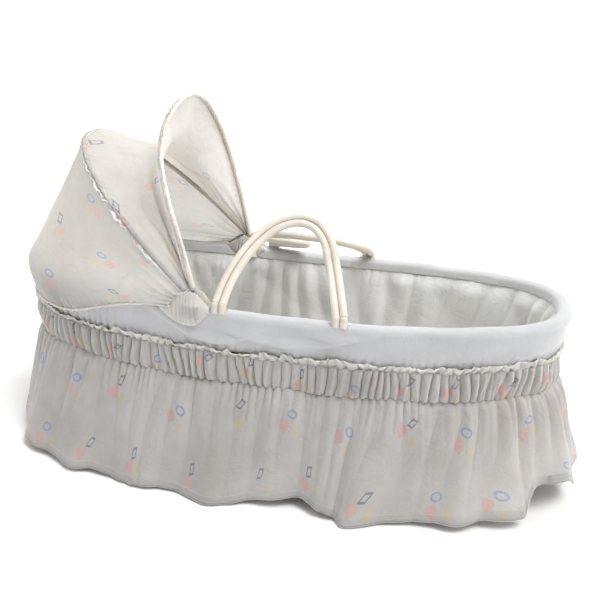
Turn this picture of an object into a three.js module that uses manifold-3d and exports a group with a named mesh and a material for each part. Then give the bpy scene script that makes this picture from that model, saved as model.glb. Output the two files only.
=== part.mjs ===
// Bassinet: an oval woven basket dressed in gathered cotton, with a folding hood on two wire bows
// and a pair of rope handles, standing on a low wooden base that the skirt hides.
// Millimetres. +X points to the foot end, +Y to the far side, +Z up, the floor is z = 0.
import * as THREE from 'three';
import { mergeVertices } from 'three/addons/utils/BufferGeometryUtils.js';
import Module from 'manifold-3d';

const wasm = await Module();
wasm.setup();

// ---- Driving dimensions -------------------------------------------------------------------

// The outline of the dressed rim is a superellipse; every ring is inset from it.
const HALF_LENGTH = 400;
const HALF_WIDTH = 170;
const SQUARENESS = 2.65;
const RIM_Z = 262;          // top of the rim at mid length
const SHEER = 12;           // the rim's rise at both ends
const SIDES = 48;           // facets round each ring
const GAP = 0.4;            // air between pieces that touch on the real object

// Fabric levels below the rim, and the skirt's flare.
const BAND_DROP = 56;
const BAND_TAPER = 0.245;   // the band follows the basket's wall in as it drops
const WAIST_DROP = 104;
const WAIST_INSET = 14;
const HEM_Z = 8;
const HEM_FLARE = 36;
const HEM_WAVE = 7;
const HEM_WAVES = 12;
const SKIRT_SIDES = 72;

// Basket carcass.
const HOOP_R = 6;
const HOOP_INSET = 48;
const RIM_HOOP_R = 5;
const RIM_HOOP_INSET = 12;
const RIM_HOOP_DROP = 9;
const WALL_T = 5;
const MATTRESS_T = 35;

// Stand.
const RAIL_TOP = 42;
const RAIL_H = 22;
const RAIL_T = 20;
const RAIL_HALF = 350;
const RAIL_Y = 85;
const CROSS_X = 250;
const GLIDE_H = 5;
const LEG_R = 14;
const LEG_X = 320;
const PAD_T = 3;
const STOP_X = 335;

// Hood bows: flat arches that lean back from the two pivots.
const PIVOT_X = -105;
const PIVOT_RISE = 9.5;     // pivot above the rim's top
const LUG_Y = 157;
const LUG_T = 4;
const EYE_T = 3.2;
const EYE_R = 5.5;
const EYE_GAP = 0.5;
const BOW_WIRE_R = 2.5;
const ARCH_POWER = 2.2;
const EYE_OFFSET = LUG_T / 2 + EYE_GAP + EYE_T / 2;
const FRONT_BOW = { width: LUG_Y - EYE_OFFSET, height: 258, lean: 13, bend: 21 };
const REAR_BOW = { width: LUG_Y + EYE_OFFSET, height: 278, lean: 48, bend: 0 };
const ROOF_SAG = 50;
const HEM_HOOD_DROP = 44;   // how far the hood's back panel reaches below the rim at the head
const HEM_HOOD_RUN = 0.27;  // share of the hem over which it drops from a pivot

// Rope handles: two cords side by side, each handle hinged where it enters the rim.
const CORD_R = 4.7;
const CORD_PITCH = 10.4;
const HANDLE_INSET = 6;
const HANDLE_RISE = 7.2;
const NEAR_LEAN = 48;
const FAR_LEAN = 68;
// Route of each handle in its own plane: along X, then out from its hinge line.
const NEAR_ROUTE = [
  [-68, 1], [-64, 35], [-54, 72], [-37, 108], [-13, 136], [14, 147],
  [38, 141], [57, 120], [70, 86], [83, 42], [94, 1],
];
const FAR_ROUTE = [
  [94, 1], [92, 38], [80, 82], [52, 118], [12, 134], [-28, 133], [-60, 115], [-72, 84],
  [-54, 58], [-26, 52], [-10, 36], [-26, 18], [-54, 14], [-68, 1],
];

// ---- Materials ----------------------------------------------------------------------------

const paint = (color, roughness, metalness = 0) =>
  new THREE.MeshStandardMaterial({ color, roughness, metalness });
const MATERIAL = {
  print: paint(0xd8d5cf, 0.85),
  band: paint(0xe4e5e8, 0.7),
  liner: paint(0xdad9cc, 0.8),
  rope: paint(0xd3c9b8, 0.75),
  reed: paint(0xb89668, 0.7),
  board: paint(0x8a6a45, 0.8),
  wood: paint(0xc9a26d, 0.55),
  steel: paint(0xb8babd, 0.35, 1),
  clip: paint(0xe9e8e4, 0.45),
  rubber: paint(0x2b2b2d, 0.9),
  elastic: paint(0xf0efea, 0.8),
  mattress: paint(0xefeee8, 0.85),
};

// ---- Geometry helpers ---------------------------------------------------------------------

const radians = (degrees) => (degrees * Math.PI) / 180;
const signedPower = (value, power) => Math.sign(value) * Math.abs(value) ** power;

// A closed mesh from points and triangles, turned so that its faces point out.
function closedMesh(points, faces) {
  const at = (i) => new THREE.Vector3(...points[i]);
  const volume = faces.reduce((sum, [a, b, c]) => sum + at(a).dot(at(b).cross(at(c))), 0);
  const turned = volume < 0 ? faces.map(([a, b, c]) => [a, c, b]) : faces;
  const geometry = new THREE.BufferGeometry();
  geometry.setAttribute('position', new THREE.Float32BufferAttribute(points.flat(), 3));
  geometry.setIndex(turned.flat());
  geometry.computeVertexNormals();
  return geometry;
}

// A point of the basket's outline, inset from the dressed rim; turn 0 is the foot end.
function outlinePoint(inset, turn) {
  const power = 2 / SQUARENESS;
  return [
    (HALF_LENGTH - inset) * signedPower(Math.cos(turn), power),
    (HALF_WIDTH - inset) * signedPower(Math.sin(turn), power),
  ];
}

const sheerAt = (x) => SHEER * (x / HALF_LENGTH) ** 2;

// A profile point { inset, z, follow, wave } carried round the outline. follow is how much of
// the rim's sheer it takes, and wave is the height of the skirt's folds there.
function carried({ inset, z, follow = 0, wave = 0 }, turn) {
  const [x, y] = outlinePoint(inset - wave * Math.cos(HEM_WAVES * turn), turn);
  return [x, y, z + follow * sheerAt(x)];
}

const turnsRound = (sides) => Array.from({ length: sides }, (_, i) => (2 * Math.PI * i) / sides);

function quadStrip(rows, columns, closedRows, closedColumns, first = 0) {
  const faces = [];
  const lastRow = closedRows ? rows : rows - 1;
  const lastColumn = closedColumns ? columns : columns - 1;
  for (let i = 0; i < lastRow; i += 1) {
    for (let j = 0; j < lastColumn; j += 1) {
      const [i2, j2] = [(i + 1) % rows, (j + 1) % columns];
      const [a, b] = [first + i * columns + j, first + i * columns + j2];
      const [c, d] = [first + i2 * columns + j2, first + i2 * columns + j];
      faces.push([a, b, c], [a, c, d]);
    }
  }
  return faces;
}

// A ring: a closed profile carried once round the outline.
function ovalRing(profile, sides = SIDES) {
  const points = turnsRound(sides).flatMap((turn) => profile.map((p) => carried(p, turn)));
  return closedMesh(points, quadStrip(sides, profile.length, true, true));
}

// A plate or a tub: an open profile that starts and ends on the upright axis.
function ovalSolid(profile, sides = SIDES) {
  const points = turnsRound(sides).flatMap((turn) => profile.map((p) => carried(p, turn)));
  const faces = quadStrip(sides, profile.length, true, false);
  const last = profile.length - 1;
  const bottom = points.length;
  const top = bottom + 1;
  points.push([0, 0, profile[0].z], [0, 0, profile[last].z]);
  for (let i = 0; i < sides; i += 1) {
    const next = ((i + 1) % sides) * profile.length;
    const here = i * profile.length;
    faces.push([bottom, here, next], [top, next + last, here + last]);
  }
  return closedMesh(points, faces);
}

// A round bar's profile, for the hoops.
const roundProfile = (inset, z, radius, follow, facets = 6) =>
  turnsRound(facets).map((angle) => ({
    inset: inset + radius * Math.cos(angle),
    z: z + radius * Math.sin(angle),
    follow,
  }));

// A flat tape on edge, for the elastics.
const tapeProfile = (inset, drop, thickness, width) => [
  { inset, z: RIM_Z - drop, follow: 1 },
  { inset: inset + thickness, z: RIM_Z - drop, follow: 1 },
  { inset: inset + thickness, z: RIM_Z - drop - width, follow: 1 },
  { inset, z: RIM_Z - drop - width, follow: 1 },
];

// A round cord, wire or sleeve swept along a smooth curve through points.
function swept(points, radius, steps, facets = 8, boreRadius = 0) {
  const shape = new THREE.Shape();
  shape.absarc(0, 0, radius, 0, 2 * Math.PI);
  if (boreRadius > 0) {
    const bore = new THREE.Path();
    bore.absarc(0, 0, boreRadius, 0, 2 * Math.PI);
    shape.holes.push(bore);
  }
  return new THREE.ExtrudeGeometry(shape, {
    steps,
    curveSegments: facets / 2,
    bevelEnabled: false,
    extrudePath: new THREE.CatmullRomCurve3(points, false, 'centripetal'),
  });
}

// A curved sheet of even thickness: a grid of points, thickened along its normals.
function panel(pointAt, uSteps, vSteps, thickness) {
  const grid = [];
  for (let i = 0; i <= uSteps; i += 1) {
    for (let j = 0; j <= vSteps; j += 1) grid.push(pointAt(i / uSteps, j / vSteps));
  }
  const columns = vSteps + 1;
  const at = (i, j) => {
    const row = Math.min(Math.max(i, 0), uSteps);
    return grid[row * columns + Math.min(Math.max(j, 0), vSteps)];
  };
  const side = (sign) => grid.map((point, index) => {
    const [i, j] = [Math.floor(index / columns), index % columns];
    const along = at(i + 1, j).clone().sub(at(i - 1, j));
    const across = at(i, j + 1).clone().sub(at(i, j - 1));
    const normal = along.cross(across).normalize();
    return point.clone().addScaledVector(normal, (sign * thickness) / 2).toArray();
  });
  const rows = uSteps + 1;
  const count = grid.length;
  const upper = quadStrip(rows, columns, false, false);
  const lower = quadStrip(rows, columns, false, false, count).map(([a, b, c]) => [a, c, b]);
  const rim = borderLoop(rows, columns);
  const edge = rim.flatMap((a, k) => {
    const b = rim[(k + 1) % rim.length];
    return [[b, a, a + count], [b, a + count, b + count]];
  });
  return closedMesh([...side(1), ...side(-1)], [...upper, ...lower, ...edge]);
}

// The grid's border points in order, walked the way that the upper face's triangles run.
function borderLoop(rows, columns) {
  const loop = [];
  for (let j = 0; j < columns - 1; j += 1) loop.push(j);
  for (let i = 0; i < rows - 1; i += 1) loop.push(i * columns + columns - 1);
  for (let j = columns - 1; j > 0; j -= 1) loop.push((rows - 1) * columns + j);
  for (let i = rows - 1; i > 0; i -= 1) loop.push(i * columns);
  return loop;
}

function lathe(profile, segments) {
  const points = profile.map(([radius, z]) => new THREE.Vector2(radius, z));
  return new THREE.LatheGeometry(points, segments).rotateX(Math.PI / 2);
}

const box = (x, y, z) => new THREE.BoxGeometry(x, y, z);

function toSolid(geometry) {
  const bare = geometry.clone();
  bare.deleteAttribute('normal');
  bare.deleteAttribute('uv');
  const merged = mergeVertices(bare, 1e-4);
  return new wasm.Manifold(new wasm.Mesh({
    numProp: 3,
    vertProperties: Float32Array.from(merged.attributes.position.array),
    triVerts: Uint32Array.from(merged.index.array),
  }));
}

function fromSolid(solid) {
  const mesh = solid.getMesh();
  const geometry = new THREE.BufferGeometry();
  geometry.setAttribute('position', new THREE.BufferAttribute(mesh.vertProperties, 3));
  geometry.setIndex(new THREE.BufferAttribute(mesh.triVerts, 1));
  geometry.computeVertexNormals();
  return geometry;
}

const joined = (a, b) => fromSolid(toSolid(a).add(toSolid(b)));
const cut = (body, tools) =>
  fromSolid(tools.reduce((rest, tool) => rest.subtract(toSolid(tool)), toSolid(body)));

const model = new THREE.Group();

function add(name, material, geometry, x = 0, y = 0, z = 0, parent = model) {
  const mesh = new THREE.Mesh(geometry, MATERIAL[material]);
  mesh.name = name;
  mesh.position.set(x, y, z);
  parent.add(mesh);
  return mesh;
}

const SIDE_NAMES = [['near', -1], ['far', 1]];
const END_NAMES = [['head', -1], ['foot', 1]];

// ---- Stand --------------------------------------------------------------------------------

const SCREW_R = 2.5;
const SCREW_HEAD_R = 5;
const SCREW_HEAD_H = 3;
const SCREW_DEPTH = 42;     // from the rail's outer face to the screw's tip
const SCREW_CLEAR = 0.4;

// A screw along Z: head at the bottom, shank upward, so it is turned into the rail.
const screwProfile = (clear) => [
  [0, 0],
  [SCREW_HEAD_R + clear, 0],
  [SCREW_HEAD_R + clear, SCREW_HEAD_H + 2 * clear],
  [SCREW_R + clear, SCREW_HEAD_H + 2 * clear],
  [SCREW_R + clear, SCREW_DEPTH - SCREW_HEAD_H + 2 * clear],
  [0, SCREW_DEPTH + 2 * clear],
];

// The screw's solid in place, or the hole that it goes into, entering from a rail's outer face.
function screwAt(x, sign, clear) {
  const screw = lathe(screwProfile(clear), 8);
  const inset = clear > 0 ? -0.01 : SCREW_CLEAR;
  return screw
    .rotateX((sign * Math.PI) / 2)
    .translate(x, sign * (RAIL_Y + RAIL_T / 2 - inset), RAIL_TOP - RAIL_H / 2);
}

function addStand() {
  const railZ = RAIL_TOP - RAIL_H / 2;
  const crossLength = 2 * (RAIL_Y - RAIL_T / 2 - GAP);
  const drills = END_NAMES.flatMap(([, end]) =>
    SIDE_NAMES.map(([, side]) => screwAt(end * CROSS_X, side, SCREW_CLEAR)));
  for (const [sideName, side] of SIDE_NAMES) {
    const rail = box(2 * RAIL_HALF, RAIL_T, RAIL_H).translate(0, side * RAIL_Y, railZ);
    add(`stand_rail_${sideName}`, 'wood', cut(rail, drills));
    const strip = box(2 * CROSS_X, RAIL_T - 4, PAD_T);
    add(`rest_strip_${sideName}`, 'rubber', strip, 0, side * RAIL_Y, RAIL_TOP + GAP + PAD_T / 2);
    for (const [endName, end] of END_NAMES) {
      add(`rail_screw_${sideName}_${endName}`, 'steel', screwAt(end * CROSS_X, side, 0));
      addLeg(`${sideName}_${endName}`, end * LEG_X, side * RAIL_Y);
      const stop = box(14, RAIL_T - 2, 24);
      add(`stop_block_${sideName}_${endName}`, 'wood', stop,
        end * STOP_X, side * RAIL_Y, RAIL_TOP + GAP + 12);
    }
  }
  for (const [endName, end] of END_NAMES) {
    const bar = box(RAIL_H, crossLength, RAIL_H).translate(end * CROSS_X, 0, railZ);
    add(`stand_crossbar_${endName}`, 'wood', cut(bar, drills));
  }
}

function addLeg(name, x, y) {
  const top = RAIL_TOP - RAIL_H - GAP;
  const bottom = GLIDE_H + GAP;
  const leg = [[0, bottom], [LEG_R - 3, bottom], [LEG_R, bottom + 4], [LEG_R, top], [0, top]];
  add(`stand_leg_${name}`, 'wood', lathe(leg, 12), x, y);
  const glide = [[0, 0], [LEG_R - 4, 0], [LEG_R - 2, 1.5], [LEG_R - 2, GLIDE_H], [0, GLIDE_H]];
  add(`stand_glide_${name}`, 'rubber', lathe(glide, 12), x, y);
}

// ---- Basket -------------------------------------------------------------------------------

const REST_TOP = RAIL_TOP + GAP + PAD_T;
const HOOP_Z = REST_TOP + GAP + HOOP_R;
const WALL_BOTTOM = HOOP_Z + HOOP_R + GAP;
const WALL_TOP_DROP = RIM_HOOP_DROP + RIM_HOOP_R + 1;
const WALL_TOP_INSET = 9.5;
const WALL_BOTTOM_INSET = HOOP_INSET - 3;
const BASE_INSET = HOOP_INSET + HOOP_R + 0.7;
const BASE_BOTTOM = REST_TOP + 1.5;
const BASE_T = 4;
const BOARD_BOTTOM = BASE_BOTTOM + BASE_T + GAP;
const LINER_BOTTOM = BOARD_BOTTOM + BASE_T + GAP;
const LINER_T = 1.6;
const MATTRESS_BOTTOM = LINER_BOTTOM + LINER_T + GAP;

function addCarcass() {
  const plate = (z) => [{ inset: BASE_INSET, z }, { inset: BASE_INSET, z: z + BASE_T }];
  add('woven_base', 'reed', ovalSolid(plate(BASE_BOTTOM)));
  add('base_board', 'board', ovalSolid(plate(BOARD_BOTTOM)));
  add('lower_hoop', 'reed', ovalRing(roundProfile(HOOP_INSET, HOOP_Z, HOOP_R, 0)));
  add('woven_wall', 'reed', ovalRing([
    { inset: WALL_BOTTOM_INSET, z: WALL_BOTTOM },
    { inset: WALL_TOP_INSET, z: RIM_Z - WALL_TOP_DROP, follow: 1 },
    { inset: WALL_TOP_INSET + WALL_T, z: RIM_Z - WALL_TOP_DROP, follow: 1 },
    { inset: WALL_BOTTOM_INSET + WALL_T, z: WALL_BOTTOM },
  ]));
  const rimZ = RIM_Z - RIM_HOOP_DROP;
  add('rim_hoop', 'reed', ovalRing(roundProfile(RIM_HOOP_INSET, rimZ, RIM_HOOP_R, 1)));
}

function addLiningAndMattress() {
  const topInset = WALL_TOP_INSET + WALL_T + 0.8;
  const topZ = RIM_Z - WALL_TOP_DROP - 0.5;
  const floor = LINER_BOTTOM + LINER_T;
  add('liner', 'liner', ovalSolid([
    { inset: BASE_INSET + 2, z: LINER_BOTTOM },
    { inset: WALL_BOTTOM_INSET + WALL_T + 3.5, z: LINER_BOTTOM + 6 },
    { inset: topInset, z: topZ, follow: 1 },
    { inset: topInset + LINER_T, z: topZ, follow: 1 },
    { inset: WALL_BOTTOM_INSET + WALL_T + 3.5 + LINER_T, z: floor + 5 },
    { inset: BASE_INSET + 3.5, z: floor },
  ]));
  add('mattress', 'mattress', ovalSolid([
    { inset: 66, z: MATTRESS_BOTTOM },
    { inset: 61, z: MATTRESS_BOTTOM + 7 },
    { inset: 60, z: MATTRESS_BOTTOM + MATTRESS_T - 9 },
    { inset: 66, z: MATTRESS_BOTTOM + MATTRESS_T - 2 },
    { inset: 80, z: MATTRESS_BOTTOM + MATTRESS_T },
  ]));
}

// Fabric rings are given as [inset, drop below the rim].
const dressed = (pairs) => pairs.map(([inset, drop]) => ({ inset, z: RIM_Z - drop, follow: 1 }));

function addDressing() {
  const seam = (BAND_DROP - 8) * BAND_TAPER;
  add('foldover_band', 'band', ovalRing(dressed([
    [seam, BAND_DROP], [0, 8], [3, 2], [9, 0], [15, 1], [20, 6], [21.5, 14],
    [19, 14], [17.8, 7.5], [14, 3.6], [9, 2.8], [5, 4.5], [2.8, 9], [seam + 2.4, BAND_DROP],
  ])));
  add('seam_elastic', 'elastic', ovalRing(tapeProfile(seam + 2.8, BAND_DROP - 3, 1.2, 7)));
  add('header_frill', 'print', ovalRing(dressed([
    [seam - 4.3, BAND_DROP - 5], [seam - 7, BAND_DROP - 1], [seam - 7, BAND_DROP + 5],
    [seam - 3.3, BAND_DROP + 7.6], [seam - 0.8, BAND_DROP + 4], [seam - 2.2, BAND_DROP - 3],
  ])));
  add('shirred_band', 'print', ovalRing(dressed([
    [seam - 2.3, BAND_DROP + 8.2], [seam - 3.4, BAND_DROP + 24], [WAIST_INSET, WAIST_DROP],
    [WAIST_INSET + 3, WAIST_DROP], [seam + 0.6, BAND_DROP + 24], [seam + 1.2, BAND_DROP + 8.2],
  ])));
  const waistTape = WAIST_INSET + 3.9;
  add('waist_elastic', 'elastic', ovalRing(tapeProfile(waistTape, WAIST_DROP - 3, 1.2, 7)));
  add('skirt', 'print', ovalRing(skirtProfile(), SKIRT_SIDES));
}

// The skirt leaves the waist, flares and ends in a waved hem at an even height.
function skirtProfile() {
  const waistZ = RIM_Z - WAIST_DROP - GAP;
  const thickness = 2.4;
  const outside = [
    { inset: WAIST_INSET, z: waistZ, follow: 1 },
    { inset: 2, z: waistZ - 14, follow: 1, wave: 1 },
    { inset: -17, z: (waistZ + HEM_Z) / 2, follow: 0.5, wave: 0.6 * HEM_WAVE },
    { inset: -HEM_FLARE, z: HEM_Z, wave: HEM_WAVE },
  ];
  const inside = outside.map((p) => ({ ...p, inset: p.inset + thickness })).reverse();
  return [...outside, ...inside];
}

// ---- Hood ---------------------------------------------------------------------------------

const PIVOT_Z = RIM_Z + sheerAt(PIVOT_X) + PIVOT_RISE;
const PIN_R = 2.4;
const PIN_HEAD_R = 5;
const PIN_HEAD_H = 2;
const FOOT_REACH = EYE_R + 4;   // the wire starts just above its eye

// A point on a bow's arch. t runs from the near pivot over the top to the far one; out moves it
// off the wire in the arch's own plane, and ahead moves it square to that plane. The bow's bend
// is how far its near leg is bowed back out of that plane.
function archPoint(bow, t, out = 0, ahead = 0) {
  const power = 2 / ARCH_POWER;
  const y = -bow.width * signedPower(Math.cos(t), power);
  const rise = bow.height * signedPower(Math.sin(t), power);
  const normal = new THREE.Vector2(
    -signedPower(Math.cos(t), 2 - power) / bow.width,
    signedPower(Math.sin(t), 2 - power) / bow.height,
  ).normalize();
  const lean = radians(bow.lean);
  const up = rise + out * normal.y;
  const bowed = t < Math.PI / 2 ? bow.bend * Math.sin(2 * t) ** 2 : 0;
  const forward = ahead - bowed;
  return new THREE.Vector3(
    PIVOT_X - up * Math.sin(lean) + forward * Math.cos(lean),
    y + out * normal.x,
    PIVOT_Z + up * Math.cos(lean) + forward * Math.sin(lean),
  );
}

// The arch angle at which a bow has risen by the given amount.
const angleAtRise = (bow, rise) => Math.asin((rise / bow.height) ** (ARCH_POWER / 2));

function archPath(bow, startRise, count, out = 0, ahead = 0) {
  const start = angleAtRise(bow, startRise);
  return Array.from({ length: count + 1 }, (_, i) =>
    archPoint(bow, start + ((Math.PI - 2 * start) * i) / count, out, ahead));
}

function addBow(prefix, bow) {
  add(`${prefix}_bow_wire`, 'steel', swept(archPath(bow, FOOT_REACH, 24), BOW_WIRE_R, 36));
  for (const [sideName, side] of SIDE_NAMES) {
    const eye = add(`${prefix}_bow_eye_${sideName}`, 'steel', eyeGeometry(),
      PIVOT_X, side * bow.width, PIVOT_Z);
    eye.rotation.y = -radians(bow.lean);
  }
}

// A flat eye with a short stem up towards the wire, centred on the pivot.
function eyeGeometry() {
  const stem = 3;
  const turn = Math.asin(stem / EYE_R);
  const shape = new THREE.Shape();
  shape.moveTo(stem, FOOT_REACH - GAP);
  shape.lineTo(-stem, FOOT_REACH - GAP);
  shape.absarc(0, 0, EYE_R, Math.PI / 2 + turn, Math.PI / 2 - turn + 2 * Math.PI, false);
  const bore = new THREE.Path();
  bore.absarc(0, 0, PIN_R + 0.3, 0, 2 * Math.PI);
  shape.holes.push(bore);
  return new THREE.ExtrudeGeometry(shape, { depth: EYE_T, curveSegments: 8, bevelEnabled: false })
    .translate(0, 0, -EYE_T / 2)
    .rotateX(Math.PI / 2);
}

// A saddle clip that straddles the dressed rim and carries the pivot lug.
const CLIP_WIDTH = 24;
const CLIP_T = 2.4;
const CLIP_INNER = 145.6;
const CLIP_OUTER = 170.2;
const CLIP_LEG = 16;

function clipGeometry() {
  const top = RIM_Z + sheerAt(PIVOT_X) + 1.4;
  const bridge = box(CLIP_WIDTH, CLIP_OUTER - CLIP_INNER + 2 * CLIP_T, CLIP_T)
    .translate(PIVOT_X, (CLIP_OUTER + CLIP_INNER) / 2, top + CLIP_T / 2);
  const leg = (y) => box(CLIP_WIDTH, CLIP_T, CLIP_LEG + CLIP_T)
    .translate(PIVOT_X, y, top + CLIP_T - (CLIP_LEG + CLIP_T) / 2);
  const lug = box(12, LUG_T, PIVOT_RISE + 3).translate(PIVOT_X, LUG_Y, PIVOT_Z - 1.5);
  const bore = new THREE.CylinderGeometry(PIN_R + 0.3, PIN_R + 0.3, 4 * LUG_T, 12)
    .translate(PIVOT_X, LUG_Y, PIVOT_Z);
  const frame = joined(joined(bridge, leg(CLIP_INNER - CLIP_T / 2)), leg(CLIP_OUTER + CLIP_T / 2));
  return cut(joined(frame, lug), [bore]);
}

// The pin goes through both bow eyes and the lug; its push nut sits on the inner end.
function addPivot(sideName, side) {
  const outerFace = REAR_BOW.width + EYE_T / 2 + GAP;
  const innerFace = FRONT_BOW.width - EYE_T / 2 - GAP;
  const length = outerFace - innerFace;
  const pin = lathe([
    [0, -3.4], [PIN_R, -3.4], [PIN_R, length], [PIN_HEAD_R, length],
    [PIN_HEAD_R, length + PIN_HEAD_H], [0, length + PIN_HEAD_H],
  ], 12);
  const nut = lathe([[PIN_R + 0.3, -2.4], [PIN_HEAD_R, -2.4], [PIN_HEAD_R, 0], [PIN_R + 0.3, 0],
    [PIN_R + 0.3, -2.4]], 12);
  for (const [name, geometry] of [['hood_pivot_pin', pin], ['hood_pin_nut', nut]]) {
    const mesh = add(`${name}_${sideName}`, 'steel', geometry, PIVOT_X, side * innerFace, PIVOT_Z);
    mesh.rotation.x = (-side * Math.PI) / 2;
  }
}

const PANEL_T = 1.6;
const PANEL_OUT = 4.3;      // from the wire's centre to the middle of the cloth
const BINDING_OUTER_R = 5.2;
const BINDING_INNER_R = 3.9;
const PANEL_FOOT = 26;      // rise above the pivot at which the hood's cloth starts

// The roof runs from behind the front binding to the rear bow and sags between them.
function roofPoint(u, v) {
  const start = angleAtRise(REAR_BOW, PANEL_FOOT);
  const t = start + (Math.PI - 2 * start) * u;
  const front = archPoint(FRONT_BOW, t, PANEL_OUT, -BINDING_OUTER_R - 1);
  const rear = archPoint(REAR_BOW, t, PANEL_OUT, 1.2);
  const sag = ROOF_SAG * Math.sin(Math.PI * v) ** 3 * Math.sin(t) ** 2;
  const point = front.lerp(rear, v);
  const inward = new THREE.Vector3(PIVOT_X, 0, PIVOT_Z).sub(point).normalize();
  return point.addScaledVector(inward, sag);
}

// The back panel drops from the rear bow, over the rim's edge, to an elastic hem outside it.
const HOOD_RIM_INSET = -7;
const HOOD_HEM_INSET = -3.4;
const HOOD_TUCK = 0.17;     // how fast the hem draws in under the rim as it drops
const HOOD_HEM_X = PIVOT_X - CLIP_WIDTH / 2 - 12;

// The outline's turn at u: from the near clip, round the head end, to the far clip.
function rimTurn(u) {
  const half = Math.acos((-HOOD_HEM_X / HALF_LENGTH) ** (SQUARENESS / 2));
  return Math.PI + half * (1 - 2 * u);
}

function hoodHem(u, inset, drop) {
  const turn = rimTurn(u);
  const away = Math.min(Math.min(u, 1 - u) / HEM_HOOD_RUN, 1);
  const depth = drop * away * away * (3 - 2 * away);
  const [x, y] = outlinePoint(inset + HOOD_TUCK * depth, turn);
  return new THREE.Vector3(x, y, RIM_Z + sheerAt(x) - depth);
}

function backPoint(u, v) {
  const start = angleAtRise(REAR_BOW, PANEL_FOOT);
  const t = start + (Math.PI - 2 * start) * u;
  const bow = archPoint(REAR_BOW, t, PANEL_OUT, -1.2);
  const knee = hoodHem(u, HOOD_RIM_INSET, 0).setZ(hoodHem(u, HOOD_RIM_INSET, 0).z + 5);
  const hem = hoodHem(u, HOOD_RIM_INSET - 0.6, HEM_HOOD_DROP);
  const kneeAt = 0.75;
  return v <= kneeAt ? bow.lerp(knee, v / kneeAt) : knee.lerp(hem, (v - kneeAt) / (1 - kneeAt));
}

function addHood() {
  for (const [sideName, side] of SIDE_NAMES) {
    const clip = clipGeometry();
    if (side < 0) clip.rotateZ(Math.PI).translate(2 * PIVOT_X, 0, 0);
    add(`hood_clip_${sideName}`, 'clip', clip);
    addPivot(sideName, side);
  }
  addBow('front', FRONT_BOW);
  addBow('rear', REAR_BOW);
  const sleeve = archPath(FRONT_BOW, PANEL_FOOT - 4, 24);
  add('front_binding', 'print', swept(sleeve, BINDING_OUTER_R, 36, 8, BINDING_INNER_R));
  add('rear_frill', 'print', swept(archPath(REAR_BOW, PANEL_FOOT, 16, 9), 2.5, 24, 6));
  add('hood_roof', 'print', panel(roofPoint, 18, 6, PANEL_T));
  add('hood_back', 'print', panel(backPoint, 22, 8, PANEL_T));
  const elastic = Array.from({ length: 41 }, (_, i) =>
    hoodHem(0.02 + (0.96 * i) / 40, HOOD_HEM_INSET, HEM_HOOD_DROP - 3));
  add('hood_hem_elastic', 'elastic', swept(elastic, 1.1, 40, 6));
}

// ---- Handles ------------------------------------------------------------------------------

// One handle: two parallel cords offset from its route, leaning inward about its hinge line.
function addHandle(sideName, side, route, lean) {
  const centre = new THREE.CatmullRomCurve3(
    route.map(([x, r]) => new THREE.Vector3(x, 0, r)), false, 'centripetal');
  for (const [cordName, offset] of [['outer', CORD_PITCH / 2], ['inner', -CORD_PITCH / 2]]) {
    const points = Array.from({ length: 45 }, (_, i) => {
      const point = centre.getPointAt(i / 44);
      const direction = centre.getTangentAt(i / 44);
      return point.add(new THREE.Vector3(-direction.z, 0, direction.x).multiplyScalar(offset));
    });
    const cord = add(`handle_${sideName}_cord_${cordName}`, 'rope', swept(points, CORD_R, 44, 8),
      0, side * (HALF_WIDTH - HANDLE_INSET), RIM_Z + HANDLE_RISE);
    cord.rotation.x = side * radians(lean);
  }
  for (const [endName, x] of [['head', route[0][0]], ['foot', route.at(-1)[0]]].sort()) {
    addEyelet(`handle_eyelet_${sideName}_${x < 0 ? 'head' : 'foot'}`, x, side);
  }
}

// A flat stitched eyelet on the rim, where a pair of cords goes in.
function addEyelet(name, x, side) {
  const oval = (dx, dy, path) => path.absellipse(0, 0, dx, dy, 0, 2 * Math.PI, false, 0);
  const shape = oval(15, 5.5, new THREE.Shape());
  shape.holes.push(oval(11.5, 3.2, new THREE.Path()));
  const geometry = new THREE.ExtrudeGeometry(shape, {
    depth: 0.6,
    curveSegments: 12,
    bevelEnabled: false,
  });
  add(name, 'band', geometry, x, side * (HALF_WIDTH - 8.5), RIM_Z + sheerAt(x) + GAP);
}

addStand();
addCarcass();
addLiningAndMattress();
addDressing();
addHood();
addHandle('near', -1, NEAR_ROUTE, NEAR_LEAN);
addHandle('far', 1, FAR_ROUTE, FAR_LEAN);

export default model;
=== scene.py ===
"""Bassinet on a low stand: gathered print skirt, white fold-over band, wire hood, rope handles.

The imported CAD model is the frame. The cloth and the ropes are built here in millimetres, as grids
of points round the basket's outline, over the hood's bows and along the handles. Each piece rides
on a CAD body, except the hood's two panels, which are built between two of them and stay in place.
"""

import math

import bmesh
import bpy
import numpy as np
from mathutils import Matrix, Vector


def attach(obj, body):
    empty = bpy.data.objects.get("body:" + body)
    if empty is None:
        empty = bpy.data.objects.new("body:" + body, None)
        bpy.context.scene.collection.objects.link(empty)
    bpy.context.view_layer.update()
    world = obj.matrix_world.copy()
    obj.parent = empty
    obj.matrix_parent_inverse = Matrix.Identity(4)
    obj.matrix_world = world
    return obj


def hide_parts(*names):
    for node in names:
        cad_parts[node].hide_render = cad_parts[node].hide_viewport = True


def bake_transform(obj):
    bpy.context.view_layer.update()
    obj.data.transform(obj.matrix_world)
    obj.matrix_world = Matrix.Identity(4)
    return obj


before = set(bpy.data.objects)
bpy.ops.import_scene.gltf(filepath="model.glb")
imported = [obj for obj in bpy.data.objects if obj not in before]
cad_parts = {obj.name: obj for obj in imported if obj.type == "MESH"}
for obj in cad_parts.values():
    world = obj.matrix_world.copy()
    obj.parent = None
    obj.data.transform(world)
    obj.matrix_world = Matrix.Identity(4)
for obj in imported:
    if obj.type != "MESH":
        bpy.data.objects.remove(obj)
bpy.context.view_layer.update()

MM = 0.001
CLOTH = 0.8                 # thickness of the cloth, in millimetres
THIN_CLOTH = 0.7            # the skirt and the shirred band

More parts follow.
